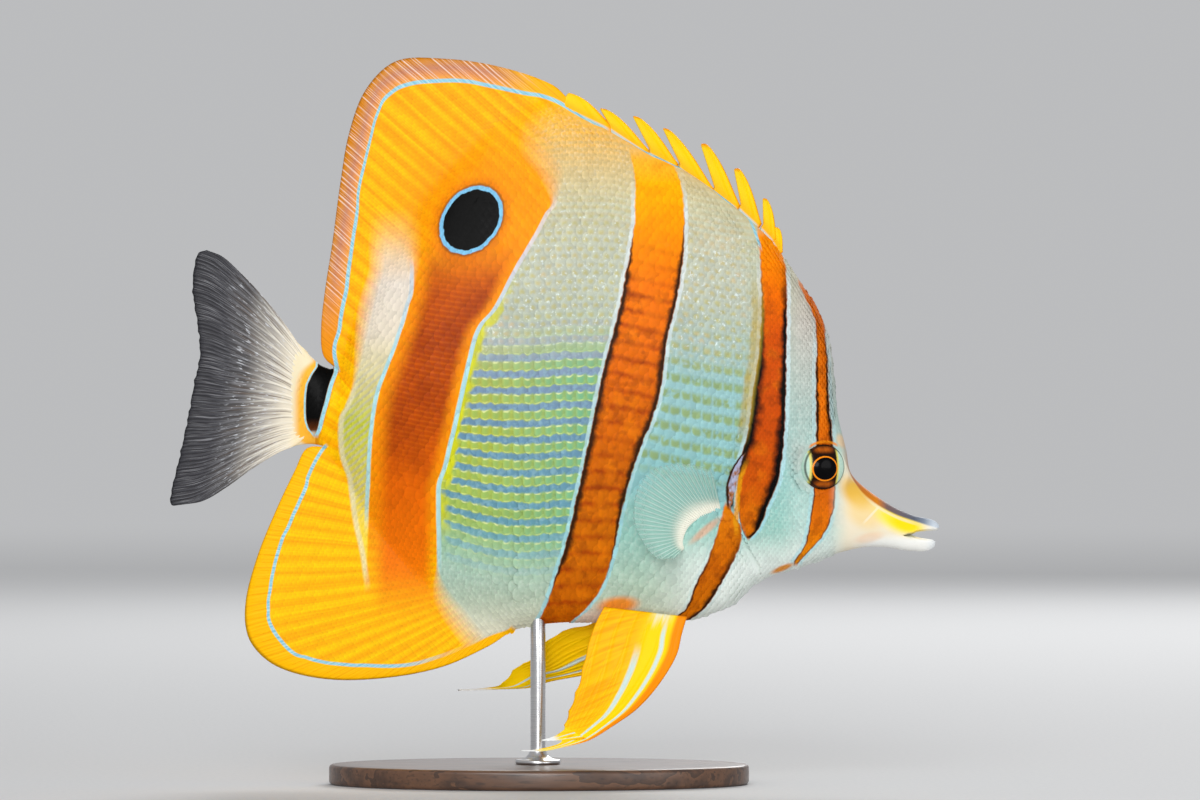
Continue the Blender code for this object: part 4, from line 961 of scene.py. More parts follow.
skin_paint = fish_paint("skin_paint", 0.42, 0.02, 1400.0, 0.00006)
skin = build_skin(skin_paint)
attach(skin, "root")
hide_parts("trunk", "head", "gill_cover_right", "gill_cover_left", "snout", "upper_jaw",
            "lower_jaw", "tail_stalk", "dorsal_fin_soft", "anal_fin")

# ------------------------------------------------------------------------------ eyes
# Glass eyes, each a blown dome over a painted iris: black pupil, thin orange ring, brown
# above and below it where the eye band passes, pale mint before and behind.  They are set
# in the orbits, turned a little forwards, and stay glossy where the skin is satin.
EYE_HALF_DEPTH = 2.3
EYE_TURN = 24.0           # degrees by which the eyes look forwards
PUPIL_LENGTH, PUPIL_HEIGHT = 2.46, 2.26
PUPIL_DROP = 0.35         # the pupil's middle lies under the middle of the globe
PUPIL_BACK = 0.45         # and a little behind it

glass, mix = new_material("eye_glass")
place = mix.place()
x, y, z = (mix.node("ShaderNodeSeparateXYZ", {0: place}, part) * 1000 for part in range(3))
eye_low, eye_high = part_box("eye_right")
eye_middle = (eye_low + eye_high) / 2 / MM
side_out = y.math("ABSOLUTE") - abs(eye_middle.y)
side_on = x - eye_middle.x
turn = math.radians(EYE_TURN)
u = side_on * math.cos(turn) - side_out * math.sin(turn)
v = z - eye_middle.z
back, drop = u + PUPIL_BACK, v + PUPIL_DROP
iris = (back / PUPIL_LENGTH).length(drop / PUPIL_HEIGHT)
fibres = mix.noise(mix.join(drop.math("ARCTAN2", u) * 9, iris * 1.5), 1, 3)
globe = u.length(v)
mix.colour = mix.blend(fibres, (10, 6, 5), (40, 20, 8))
above = back.math("ABSOLUTE")
stripe = above.step(2.7, 0.9) * v.math("ABSOLUTE").within(3, 3.9, 1.1)
mix.lay(mix.blend(fibres, (130, 54, 8), (226, 116, 22)), stripe * 0.85)
sides = above.step(fibres * 0.5 + 2.2, 2.9) * v.math("ABSOLUTE").step(4, 2.8)
mix.lay(mix.blend(above.step(2.9, 3.3), (226, 214, 110),
                  mix.blend(fibres, (160, 206, 190), (214, 232, 214))), sides)
mix.lay((244, 138, 22), iris.within(0.98, 1.11, 0.06))
mix.lay((2, 2, 3), iris.step(1, 0.97))
# A dark ring near the rim of the globe is painted shade where the eye sits in its orbit.
mix.lay((30, 26, 22), globe.within(4.15, 4.45, 0.2) * 0.75)
mix.wire("Base Color", mix.colour)
mix.wire("Roughness", fibres.ramp(0, 1, (0.2, 0.16), (0.8, 0.24)))
mix.lacquer(0.05, 0.06, 0.02)

for side, name in ((-1, "eye_right"), (1, "eye_left")):
    low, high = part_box(name)
    centre = (low + high) / 2 / MM
    bends = np.linspace(0.0, math.pi, 41)[1:-1]
    spins = np.linspace(0.0, 2 * math.pi, 72, endpoint=False)
    rows = []
    for bend in np.concatenate([[0.0], bends, [math.pi]]):
        radius, depth = math.sin(bend), math.cos(bend)
        bulge = 0.16 * float(ease(radius, 0.62, 0.30)) if depth > 0 else 0.0
        across = radius * EYE_RADIUS * np.cos(spins)
        high_up = radius * EYE_RADIUS * np.sin(spins)
        out = np.full(len(spins), depth * EYE_HALF_DEPTH + bulge)
        x = across * math.cos(turn) + out * math.sin(turn)
        y = side * (out * math.cos(turn) - across * math.sin(turn))
        rows.append(np.stack([centre.x + x, centre.y + y, centre.z + high_up], axis=1))
    eye = round_mesh(name + "_glass", np.array(rows), glass)
    build = bmesh.new()
    build.from_mesh(eye.data)
    bmesh.ops.remove_doubles(build, verts=build.verts, dist=0.000002)
    bmesh.ops.recalc_face_normals(build, faces=build.faces)
    build.to_mesh(eye.data)
    build.free()
    eye.data.shade_smooth()
    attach(eye, "root")
    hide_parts(name)

# ---------------------------------------------------------------------------- scales
# Thousands of thin horn-like scales laid over the skin in staggered rows, each with its
# root sunk in the skin and its free edge over the next ones behind it.  They are largest
# on the flank and smallest on the face, and follow the rays out on the soft fins.
LEAVES = {    # pitch along a row, spacing of rows, height of the free edge over the root
    "flank": (2.1, ROW_PITCH / 2, 0.8),
    "middle": (1.5, 1.15, 0.62),
    "small": (1.1, 0.86, 0.46),
    "fin": (0.96, 0.74, 0.16),
    "face": (0.92, 0.72, 0.30),
}
OVERLAP = 1.72            # length of a scale over its pitch
BREADTH = 1.86            # width of a scale over the spacing of the rows
MAP_STEP = 0.4            # the map of the skin: its mesh, and its reach over X and Z
MAP_X, MAP_Z = (-66.0, 70.0), (18.0, 147.0)
FLANK_MIDDLE = 8.0, 70.0  # the rows are counted from here (x, z)
FIRST_ROW = 0.85
THIN_FIN = 0.33           # no scales where the fish is thinner than this from its middle
FIN_SCALE_LIFT = 0.035
BAKE_PATCH = 0.003        # the share of the bake map that one scale takes up
SCALES_END = -1.1         # the scales end this far inside the fins' blue lines


def map_skin(skin):
    """Half width and girth (mm) over a grid of X and Z, found by rays onto the skin."""
    verts = [vert.co / MM for vert in skin.data.vertices]
    hull = BVHTree.FromPolygons(verts, [face.vertices[:] for face in skin.data.polygons])
    xs, zs = np.arange(*MAP_X, MAP_STEP), np.arange(*MAP_Z, MAP_STEP)
    half = np.zeros((len(xs), len(zs)))
    for i, x in enumerate(xs):
        for j, z in enumerate(zs):
            hit = hull.ray_cast(Vector((x, -30.0, z)), Vector((0.0, 1.0, 0.0)))[0]
            if hit is not None:
                half[i, j] = max(-hit.y, 0.0)
    start = int(np.argmin(np.abs(zs - FLANK_MIDDLE[1])))
    lengths = np.hypot(np.diff(half, axis=1), MAP_STEP)
    girth = np.concatenate([np.zeros((len(xs), 1)), np.cumsum(lengths, axis=1)], axis=1)
    girth += (zs[start] - girth[:, start])[:, None]
    return xs, zs, half, girth


map_x, map_z, half_map, girth_map = map_skin(skin)
square = half_map ** 2
slope_x, slope_z = np.gradient(square, MAP_STEP, MAP_STEP)


def look_up(grid, x, z):
    """Values of a map between its grid points."""
    i = np.clip((x - map_x[0]) / MAP_STEP, 0, len(map_x) - 1.001)
    j = np.clip((z - map_z[0]) / MAP_STEP, 0, len(map_z) - 1.001)
    i0, j0 = i.astype(int), j.astype(int)
    a, b = i - i0, j - j0
    return (grid[i0, j0] * (1 - a) * (1 - b) + grid[i0 + 1, j0] * a * (1 - b)
            + grid[i0, j0 + 1] * (1 - a) * b + grid[i0 + 1, j0 + 1] * a * b)


def rise_at(x):
    return np.interp(x, *np.array(ROW_RISE).T)


def flank_rows(pitch, spacing):
    """Staggered places along the curved rows of the flank: x, z and the direction (dx, dz)."""
    levels = np.arange(FIRST_ROW - 20 * spacing, 160.0, spacing)
    heights = np.array([np.interp(levels + rise_at(x), girth_map[i], map_z)
                        for i, x in enumerate(map_x)])
    places = []
    for k in range(len(levels)):
        z = heights[:, k]
        half = np.sqrt(np.maximum(look_up(square, map_x, z), 0.0))
        steps = np.sqrt(np.diff(map_x) ** 2 + np.diff(z) ** 2 + np.diff(half) ** 2)
        reach = np.concatenate([[0.0], np.cumsum(steps)])
        reach -= np.interp(FLANK_MIDDLE[0], map_x, reach)
        number = round((levels[k] - FIRST_ROW) / spacing)
        marks = np.arange(-90, 90) * pitch + (number % 2) * pitch / 2
        marks = marks[(marks > reach[0]) & (marks < reach[-1])]
        x = np.interp(marks, reach, map_x)
        z_at = np.interp(x, map_x, z)
        lean = np.interp(x - 0.5, map_x, z) - np.interp(x + 0.5, map_x, z)
        places.append(np.stack([x, z_at, np.full(len(x), -1.0), lean], axis=1))
    return np.concatenate(places)


def straight_rows(pitch, spacing, degrees):
    """Staggered places on rows that rise backwards by so many degrees."""
    angle = math.radians(degrees)
    rows = []
    for k in range(-250, 250):
        across = k * spacing
        along = np.arange(-200, 200) * pitch + (k % 2) * pitch / 2
        x = across * math.sin(angle) - along * math.cos(angle)
        z = 75.0 + across * math.cos(angle) + along * math.sin(angle)
        rows.append(np.stack([x, z, np.full(len(x), -math.cos(angle)),
                              np.full(len(x), math.sin(angle))], axis=1))
    rows = np.concatenate(rows)
    x, z = rows[:, 0], rows[:, 1]
    return rows[(x > MAP_X[0]) & (x < 60) & (z > MAP_Z[0]) & (z < MAP_Z[1])]


def past_fin_line(x, z, middle, points, facing):
    """How far (mm) a place lies outside a fin's blue line; negative inside it."""
    angles, radii = np.array(points, float).T
    dx, dz = x - middle[0], (z - middle[1]) * facing
    angle = np.degrees(np.arctan2(dx, dz))
    out = np.hypot(dx, dz) - np.interp(angle, angles, radii)
    return np.where((angle > angles[0]) & (angle < angles[-1]), out, -5.0)


def regions(rows):
    """Which kind of scale belongs at each place; an empty name where there is none."""
    x, z = rows[:, 0], rows[:, 1]
    half = np.sqrt(np.maximum(look_up(square, x, z), 0.0))
    back = line_distance(x, z, [rib[1] for rib in FINNED_RIBS[1:]] + [(8.0, 134.0)])[0]
    belly = line_distance(x, z, [rib[2] for rib in FINNED_RIBS[1:]] + [(2.0, 29.0)])[0]
    stray = np.sin(0.9 * x + 0.5 * z) * np.sin(0.7 * z - 0.4 * x)
    oval = np.hypot((x - 8.0) / 36.0, (z - 72.0) / 40.0) + 0.05 * stray
    kind = np.where(oval < 1.0, "flank", np.where(oval < 1.24, "middle", "small"))
    neck = line_distance(x, z, [(44.0, 104.0), (42.6, 86.0)] + NECK_LINE + [(43.6, 37.0)])[0]
    kind = np.where((kind == "flank") & (x > 31.0 - 0.12 * np.abs(z - 70.0)), "middle", kind)
    kind = np.where((x > 35.5) | ((x > 26.0) & (z < 46.0)) | (half < 3.4), "small", kind)
    kind = np.where(neck > 0.3, "face", kind)
    kind = np.where((back + 1.5 * stray > -5.0) & (z > 80) & (x < 2.0), "dorsal", kind)
    kind = np.where((belly + 1.5 * stray < 5.0) & (z < 70) & (x < -4.0), "anal", kind)
    kind = np.where((x < -43.0) & (z > 66.0) & (z < 86.0), "small", kind)
    gone = half < THIN_FIN
    gone |= np.hypot(x - EYE_X - 0.5, z - EYE_Z) < EYE_RADIUS + 0.7
    gone |= (np.abs(neck - 0.3) < 0.4) & (z > 42.0) & (z < 76.0)
    gone |= past_fin_line(x, z, DORSAL_MIDDLE, DORSAL_LINE, 1.0) > SCALES_END
    gone |= past_fin_line(x, z, ANAL_MIDDLE, ANAL_LINE, -1.0) > SCALES_END
    gone |= (x < -50.2) & (z > 66.0) & (z < 88.0)
    gone |= (x > 56.6) | ((x > 54.6) & (z < 60.0) & (x + z * 0.35 > 75.4))
    gone |= (np.abs(x - 57.8) < 1.6) & (np.abs(z - 70.6) < 2.4)
    return np.where(gone, "", kind)


def carry(mesh, label, values):
    """Gives each point of a mesh a named value, or a named direction."""
    kind, part = ("FLOAT", "value") if np.ndim(values) == 1 else ("FLOAT_VECTOR", "vector")
    mesh.attributes.new(label, kind, "POINT").data.foreach_set(part, np.ravel(values))


def scale_shape(name, rim):
    """One scale of unit length and width, root at the origin, free edge towards +X."""
    outline = [(0.0, 0.0)]
    count = (rim - 1) // 2
    shares = count + (0.5 if count > 3 else 0.6)
    for k in range(1, count + 1):
        bend = math.pi * (1 - k / shares)
        reach = math.copysign(0.5 * abs(math.cos(bend)) ** 0.85, bend - math.pi / 2)
        outline.append((0.5 - reach, 0.5 * math.sin(bend) ** 0.8))
    outline += [(x, -y) for x, y in outline[:0:-1]]

    def top(x, y):
        return -0.12 + 0.34 * x - 0.35 * y * y

    verts = [(x, y, top(x, y)) for x, y in outline] + [(0.55, 0.0, top(0.55, 0.0) + 0.05)]
    verts += [(x, y, top(x, y) - 0.09) for x, y in outline]
    size = len(outline)
    faces = [(i, (i + 1) % size, size)[::-1] for i in range(size)]
    faces += [(i, (i + 1) % size, size + 1 + (i + 1) % size, size + 1 + i) for i in range(size)]
    faces.append(tuple(range(size + 1, 2 * size + 1)))
    mesh = bpy.data.meshes.new(name)
    mesh.from_pydata(verts, [], faces)
    mesh.polygons.foreach_set("use_smooth", [True] * size + [False] * (size + 1))
    build = bmesh.new()
    build.from_mesh(mesh)
    bmesh.ops.recalc_face_normals(build, faces=build.faces)
    for edge in build.edges:
        edge.smooth = not (edge.verts[0].index < size and edge.verts[1].index < size)
    bmesh.ops.triangulate(build, faces=[face for face in build.faces if len(face.verts) > 4])
    build.to_mesh(mesh)
    build.free()
    carry(mesh, "along", [vert.co.x for vert in mesh.vertices])
    carry(mesh, "patch", [(vert.co.x - 0.5, vert.co.y, 0.0) for vert in mesh.vertices])
    return add_object(name, mesh)


def shape_tree(name, **sockets):
    """A node tree for shapes with these inputs, its Mixer and the inputs by name."""
    tree = bpy.data.node_groups.new(name, "GeometryNodeTree")
    for label, kind in sockets.items():
        tree.interface.new_socket(label, in_out="INPUT", socket_type="NodeSocket" + kind)
    tree.interface.new_socket("Shape", in_out="OUTPUT", socket_type="NodeSocketGeometry")
    mixer, inputs = Mixer(tree), tree.nodes.new("NodeGroupInput").outputs
    return tree, mixer, {label: Value(mixer, inputs[label]) for label in sockets}


def laying_tree():
    """Nodes that lay a template on every point, turned by its lie, and make real mesh of it."""
    tree, g, start = shape_tree("lay_scales", Points="Geometry", Template="Object", Length="Float",
                                Width="Float", Height="Float", Patch="Float", Seed="Int",
                                Material="Material")

    def chance(low, high, number):
        return g.node("FunctionNodeRandomValue", {2: low, 3: high, "Seed": start["Seed"] + number},
                      1, data_type="FLOAT")

    template = g.node("GeometryNodeObjectInfo", {"Object": start["Template"]}, "Geometry")
    axes = {"Primary Axis": g.stored("out"), "Secondary Axis": g.stored("lie")}
    turned = g.node("FunctionNodeAxesToRotation", axes, "Rotation", primary_axis="Z",
                    secondary_axis="X")
    size = g.stored("size", "FLOAT") * chance(0.95, 1.05, 1)
    scaled = g.join(start["Length"] * size, start["Width"] * size,
                    start["Height"] * (size * chance(0.85, 1.15, 2)))
    laid = g.node("GeometryNodeInstanceOnPoints", {"Points": start["Points"], "Instance": template,
                  "Rotation": turned, "Scale": scaled})
    toned = g.node("GeometryNodeStoreNamedAttribute", {"Geometry": laid, "Name": "tone",
                   "Value": chance(0.0, 1.0, 3.0)}, data_type="FLOAT", domain="INSTANCE")
    real = g.node("GeometryNodeRealizeInstances", {"Geometry": toned})
    corner = g.node("ShaderNodeVectorMath", {0: g.stored("patch"), 1: start["Patch"],
                    2: g.stored("root")}, operation="MULTIPLY_ADD")
    spot = g.node("GeometryNodeStoreNamedAttribute", {"Geometry": real, "Name": "OFBake",
                  "Value": corner}, data_type="FLOAT2", domain="CORNER")
    done = g.node("GeometryNodeSetMaterial", {"Geometry": spot, "Material": start["Material"]})
    g.end(done)
    return tree


def grow(item, tree, values):
    """Runs a node tree on an object, with inputs by name, and keeps the result as its mesh."""
    maker = item.modifiers.new("maker", "NODES")
    maker.node_group = tree
    for socket in tree.interface.items_tree:
        if socket.in_out == "INPUT" and socket.name in values:
            maker[socket.identifier] = values[socket.name]
    shape = item.evaluated_get(bpy.context.evaluated_depsgraph_get())
    mesh = bpy.data.meshes.new_from_object(shape)
    item.modifiers.remove(maker)
    mesh.name = item.name
    item.data = mesh


def scale_paint():
    """Lacquered horn: the skin's markings, with painted shade at the root under the scale before
    it, a painted highlight along the free edge, and a little random tone.
    """
    material, mix = new_material("scale_paint")
    along, tone = mix.field("along"), mix.field("tone")
    # Painted shade darkens each root, a painted highlight lightens the free edge, and the tone
    # varies at random.
    painted_light_and_tone = (along.curve(0, 1, [(0.35, 0.88), (0.75, 0.98), (0.93, 1.05), (1, 0.97)])
             * (tone * 0.12 + 0.94))
    group = mix.node("ShaderNodeGroup", node_tree=markings)
    mix.wire("Base Color", mix.node("ShaderNodeHueSaturation", {"Value": painted_light_and_tone, "Color": group}))
    rings = mix.noise(mix.place(), 2200.0, 2.0)
    mix.bump(rings, 0.25, 0.00003)
    mix.wire("Roughness", rings * 0.16 + 0.34)
    mix.lacquer(0.05, 0.02, 0.2)
    return material


big_scale = scale_shape("big_scale", 11)
small_scale = scale_shape("small_scale", 7)
scale_laying = laying_tree()
scale_lacquer = scale_paint()


def map_share(values):
    """Places as shares of the bake map, clear of its edge by two scales' lengths."""
    return 0.01 + 0.98 * (values - values.min() + 2.0) / (np.ptp(values) + 4.0)


def lay_scales(name, rows, side, kind, template):
    """One piece of coat: scales of one kind on one side of the fish."""
    pitch, spacing, high = LEAVES[kind]
    x, z = rows[:, 0], rows[:, 1]
    half = np.sqrt(np.maximum(look_up(square, x, z), 0.01))
    lean_x = look_up(slope_x, x, z) / (2 * half)
    lean_z = look_up(slope_z, x, z) / (2 * half)
    out = np.stack([-lean_x, np.full(len(x), side), -lean_z], axis=1)
    out /= np.linalg.norm(out, axis=1)[:, None]
    way = rows[:, 2:] / np.linalg.norm(rows[:, 2:], axis=1)[:, None]
    size = np.full(len(x), 0.92) if kind == "fin" else np.clip(0.55 + half / 4.0, 0.6, 1.0)
    # A scale in a hollow lies along the line from its root to its tip, so that it stays on top.
    reach = pitch * OVERLAP * size
    tip = np.sqrt(np.maximum(look_up(square, x + way[:, 0] * reach, z + way[:, 1] * reach), 0.01))
    climb = np.maximum(lean_x * way[:, 0] + lean_z * way[:, 1], (tip - half) / reach)
    lie = np.stack([way[:, 0], side * climb, way[:, 1]], axis=1)
    lie /= np.linalg.norm(lie, axis=1)[:, None]
    out -= lie * np.sum(out * lie, axis=1)[:, None]
    raised = half + (FIN_SCALE_LIFT if kind == "fin" else 0.0)
    mesh = bpy.data.meshes.new(name)
    mesh.from_pydata((np.stack([x, side * raised, z], axis=1) * MM).tolist(), [], [])
    girth = look_up(girth_map, x, z)
    root = np.stack([map_share(x), map_share(girth), 0 * x], axis=1)
    for label, values in (("out", out), ("lie", lie), ("root", root), ("size", size)):
        carry(mesh, label, values)
    piece = add_object(name, mesh)
    grow(piece, scale_laying, {"Template": template, "Length": pitch * OVERLAP * MM,
                               "Width": spacing * BREADTH * MM, "Height": high * MM,
                               "Patch": BAKE_PATCH, "Seed": 5, "Material": scale_lacquer})
    for label in ("out", "lie", "root", "size", "patch"):
        piece.data.attributes.remove(piece.data.attributes[label])
    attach(piece, "root")
    "skin_pale" if kind == "face" else "skin_orange"


coat = {}
for kind in ("flank", "middle", "small", "face"):
    rows = flank_rows(*LEAVES[kind][:2])
    coat[kind] = rows[regions(rows) == kind]
rows = straight_rows(*LEAVES["fin"][:2], DORSAL_LIE)
coat["dorsal"] = rows[regions(rows) == "dorsal"]
rows = straight_rows(*LEAVES["fin"][:2], -8.0)
rows = rows[regions(rows) == "anal"]
rows[:, 2:] = rows[:, :2] - np.array(ANAL_FAN)
coat["anal"] = rows
for side, hand in ((-1, "right"), (1, "left")):
    for kind, rows in coat.items():
        family = "fin" if kind in ("dorsal", "anal") else kind
        template = big_scale if kind in ("flank", "middle") else small_scale
        lay_scales("scales_" + kind + "_" + hand, rows, side, family, template)
for template in (big_scale, small_scale):
    bpy.data.objects.remove(template)

# --------------------------------------------------------------------- fin ray ridges
# Beyond the scaled part of the soft dorsal and anal fins the rays show as fine ridges,
# half-round strips of resin cast on both faces of the fin out to its hem.
RAY_RADIUS = 0.11
RAY_SPACING = 1.3
RAY_SIDES = 6
RAY_START = -1.6          # the ridges begin this far inside the blue line
RAY_STEP = 0.4
HEM_HALF = 0.12           # and end where the fin is this thin


def ridge_tree():
    """Nodes that turn polylines into round ribs that taper by their stored thickness."""
    tree, g, start = shape_tree("round_ribs", Lines="Geometry", Radius="Float", Sides="Int",
                                Material="Material")
    line = g.node("GeometryNodeMeshToCurve", {"Mesh": start["Lines"]})
    circle = g.node("GeometryNodeCurvePrimitiveCircle", {"Resolution": start["Sides"],
                    "Radius": 1.0})
    tube = g.node("GeometryNodeCurveToMesh", {"Curve": line, "Profile Curve": circle,
                  "Fill Caps": True, "Scale": g.stored("thick", "FLOAT") * start["Radius"]})
    tube = g.node("GeometryNodeSetShadeSmooth", {"Geometry": tube, "Shade Smooth": True})
    tube = g.node("GeometryNodeRealizeInstances", {"Geometry": tube})
    done = g.node("GeometryNodeSetMaterial", {"Geometry": tube, "Material": start["Material"]})
    g.end(done)
    return tree


round_ribs = ridge_tree()
ray_paint = fish_paint("ray_paint", 0.38, 0.02, 1800.0, 0.00003)


def march(x, z, way_x, way_z, side):
    """A ray's ridge from a start out to the hem, on the face of the fin."""
    line = []
    for _ in range(200):
        half = math.sqrt(max(float(look_up(square, np.array([x]), np.array([z]))[0]), 0.0))
        if half < HEM_HALF:
            break
        line.append((x, side * (half - 0.03), z))
        x += way_x * RAY_STEP
        z += way_z * RAY_STEP
    count = len(line)
    return [(*point, max(0.25, min(1.0, (count - k) / 6, (k + 1) / 4)))
            for k, point in enumerate(line)]


def ridges(x, z, past_line, allowed, way_x, way_z):
    """One ray's ridges on both faces, from its first place near the blue line."""
    first = np.nonzero((past_line > RAY_START) & allowed)[0]
    if not len(first):
        return []
    lines = [march(x[first[0]], z[first[0]], way_x, way_z, side) for side in (-1, 1)]
    return [line for line in lines if len(line) > 3]


rays = []
lie = math.radians(DORSAL_LIE)
for k in range(-60, 60):
    across = k * RAY_SPACING
    along = np.arange(-60.0, 90.0, 0.25)
    x = across * math.sin(lie) - along * math.cos(lie)
    z = 90.0 + across * math.cos(lie) + along * math.sin(lie)
    out = past_fin_line(x, z, DORSAL_MIDDLE, DORSAL_LINE, 1.0)
    rays += ridges(x, z, out, (x < 8.0) & (z > 86.0), -math.cos(lie), math.sin(lie))
for k in range(67):
    angle = math.radians(168.0 + k * 1.5)
    reach = np.arange(12.0, 75.0, 0.25)
    x = ANAL_FAN[0] + reach * math.cos(angle)
    z = ANAL_FAN[1] + reach * math.sin(angle)
    out = past_fin_line(x, z, ANAL_MIDDLE, ANAL_LINE, -1.0)
    rays += ridges(x, z, out, (z < 69.0) & (x < -3.0), math.cos(angle), math.sin(angle))
verts, edges, thick = [], [], []
for line in rays:
    edges += [(len(verts) + k, len(verts) + k + 1) for k in range(len(line) - 1)]
    verts += [(x * MM, y * MM, z * MM) for x, y, z, _ in line]
    thick += [share for *_, share in line]
mesh = bpy.data.meshes.new("soft_fin_rays")
mesh.from_pydata(verts, edges, [])
carry(mesh, "thick", thick)
soft_rays = add_object("soft_fin_rays", mesh)
grow(soft_rays, round_ribs, {"Radius": RAY_RADIUS * MM, "Sides": RAY_SIDES, "Material": ray_paint})
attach(soft_rays, "root")

# ----------------------------------------------------------------------- dorsal spines
# Eight flat spine blades along the back, each with a rounded tip, a thick front edge and
# thin skin behind it; they lean back, and pale blue skin joins their feet to the back.
# Rear and front foot, rear and front corner of the tip (x, z).
SPINES = [((1.4, 136.4), (11.6, 131.6), (2.9, 138.3), (4.2, 137.9)),
          ((10.8, 132.1), (19.2, 126.6), (9.1, 135.2), (10.5, 135.0)),
          ((19.0, 127.1), (24.9, 124.0), (15.6, 133.7), (17.0, 133.4)),
          ((25.0, 124.3), (32.2, 118.7), (21.6, 131.3), (23.0, 131.0)),
          ((32.0, 119.5), (37.3, 115.6), (29.2, 128.1), (30.6, 128.1)),
          ((37.3, 116.0), (41.6, 112.0), (35.9, 123.1), (37.1, 123.2)),
          ((41.8, 112.0), (44.6, 109.0), (41.7, 117.2), (42.6, 117.1)),
          ((44.3, 109.2), (45.8, 106.4), (44.1, 111.5), (45.1, 111.2))]
SPINE_ROOT_DEPTH = 5.0
BODY_MIDDLE = np.array((18.0, 78.0))


def sheet_piece(name, middle, half, fields, material):
    """A thin closed fin from a grid of middle points (rows, columns, 3) and half thicknesses.

    It is thickened along Y, closed along its four edges, and carries named fields of the
    same grid for its paint.
    """
    rows, columns = half.shape
    edge = np.ones_like(half)
    edge[0, :] = edge[-1, :] = edge[:, 0] = edge[:, -1] = 0.0
    thick = half * edge
    front, back = middle.copy(), middle.copy()
    front[..., 1] -= thick
    back[..., 1] += thick
    verts = np.concatenate([front.reshape(-1, 3), back.reshape(-1, 3)]) * MM
    count = rows * columns
    index = np.arange(count).reshape(rows, columns)
    quads = np.stack([index[:-1, :-1], index[1:, :-1], index[1:, 1:], index[:-1, 1:]],
                     axis=-1).reshape(-1, 4)
    rim = (edge == 0.0).ravel()
    other = np.where(rim, np.arange(count), np.arange(count) + count)
    faces = quads.tolist() + other[quads][:, ::-1].tolist()
    mesh = bpy.data.meshes.new(name)
    mesh.from_pydata(verts.tolist(), [], faces)
    for label, values in fields.items():
        carry(mesh, label, np.tile(values.ravel(), 2))
    build = bmesh.new()
    build.from_mesh(mesh)
    loose = [vert for vert in build.verts if not vert.link_faces]
    bmesh.ops.delete(build, geom=loose, context="VERTS")
    bmesh.ops.recalc_face_normals(build, faces=build.faces)
    build.to_mesh(mesh)
    build.free()
    return add_object(name, mesh, material)


def joined(pieces):
    """One piece made of several; the first keeps its name."""
    bpy.ops.object.select_all(action="DESELECT")
    for piece in pieces:
        piece.select_set(True)
    bpy.context.view_layer.objects.active = pieces[0]
    bpy.ops.object.join()
    return pieces[0]


spine_paint, mix = new_material("spine_paint")
share, high = mix.field("share"), mix.field("high")
fibre = mix.threads(share * 14, high * 1.2)
mix.colour = high.ramp(-1, 1, (-0.2, 246, 176, 6), (0.1, 254, 196, 3), (0.5, 254, 206, 3),
                       (0.9, 240, 200, 10), (0.985, 232, 140, 8))
mix.lay((236, 168, 6), fibre.step(0.5, 0.75) * 0.25)
mix.lay((244, 140, 4), share.step(0.86, 1) * 0.75)
mix.lay((250, 178, 4), (high + share * 0.5).step(0.5, 0) * 0.6)
mix.lay((255, 238, 120), share.step(0.12, 0) * 0.35)
foot = high.step(-0.1, -0.2) * share.step(1, 0.8)
mix.lay((170, 206, 220), foot * 0.8)
mix.wire("Base Color", mix.colour)
mix.bump(fibre, 0.3, 0.00008)
mix.wire("Roughness", fibre * 0.2 + 0.3)
mix.lacquer(0.05, 0.03, 0.2)

blades = []
for corners in SPINES:
    rear, front, rear_tip, front_tip = (np.array(point) for point in corners)
    inward = [BODY_MIDDLE - point for point in (rear, front)]
    inward = [way / np.linalg.norm(way) * SPINE_ROOT_DEPTH for way in inward]
    out = np.array([front[1] - front_tip[1], front_tip[0] - front[0]])
    out = -out / np.linalg.norm(out) * min(0.6, 0.06 * np.linalg.norm(front - front_tip))
    rows = []
    for t in (-1.0, -0.6, -0.3, -0.15, 0.0, *np.linspace(0.06, 0.94, 14), 0.97, 0.99, 1.0):
        if t < 0:
            a, b = rear - inward[0] * t, front - inward[1] * t
        else:
            a = rear + (rear_tip - rear) * t
            b = front + (front_tip - front) * t + out * 4 * t ** 1.5 * (1 - t ** 1.5)
            trim = 0.3 * (1 - math.sqrt(max(1 - (max(t - 0.92, 0.0) / 0.08) ** 2, 0.0)))
            a, b = a + (b - a) * trim, b - (b - a) * trim
        rows.append((a, b, t))
    shares = np.linspace(0.0, 1.0, 15)
    grid = np.array([[[*(a + (b - a) * s)] for s in shares] for a, b, _ in rows])
    t = np.array([row[2] for row in rows])[:, None]
    s = shares[None, :]
    thick = 0.22 + 0.16 * np.exp(-((s - 0.80) / 0.22) ** 2) + 0.03 * np.cos(s * 40.0) * (s < 0.7)
    thick = thick * (1.05 - 0.45 * np.clip(t, 0, 1)) * np.ones_like(s)
    middle = np.stack([grid[..., 0], np.zeros(grid.shape[:2]), grid[..., 1]], axis=-1)
    fields = {"share": np.tile(s, (len(rows), 1)),
              "high": np.tile(np.clip(t, -1, 1), (1, len(shares)))}
    blades.append(sheet_piece("spine_blade", middle, thick, fields, spine_paint))
spines = joined(blades)
spines.name = "dorsal_spines"
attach(spines, "root")
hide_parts("dorsal_fin_spiny")
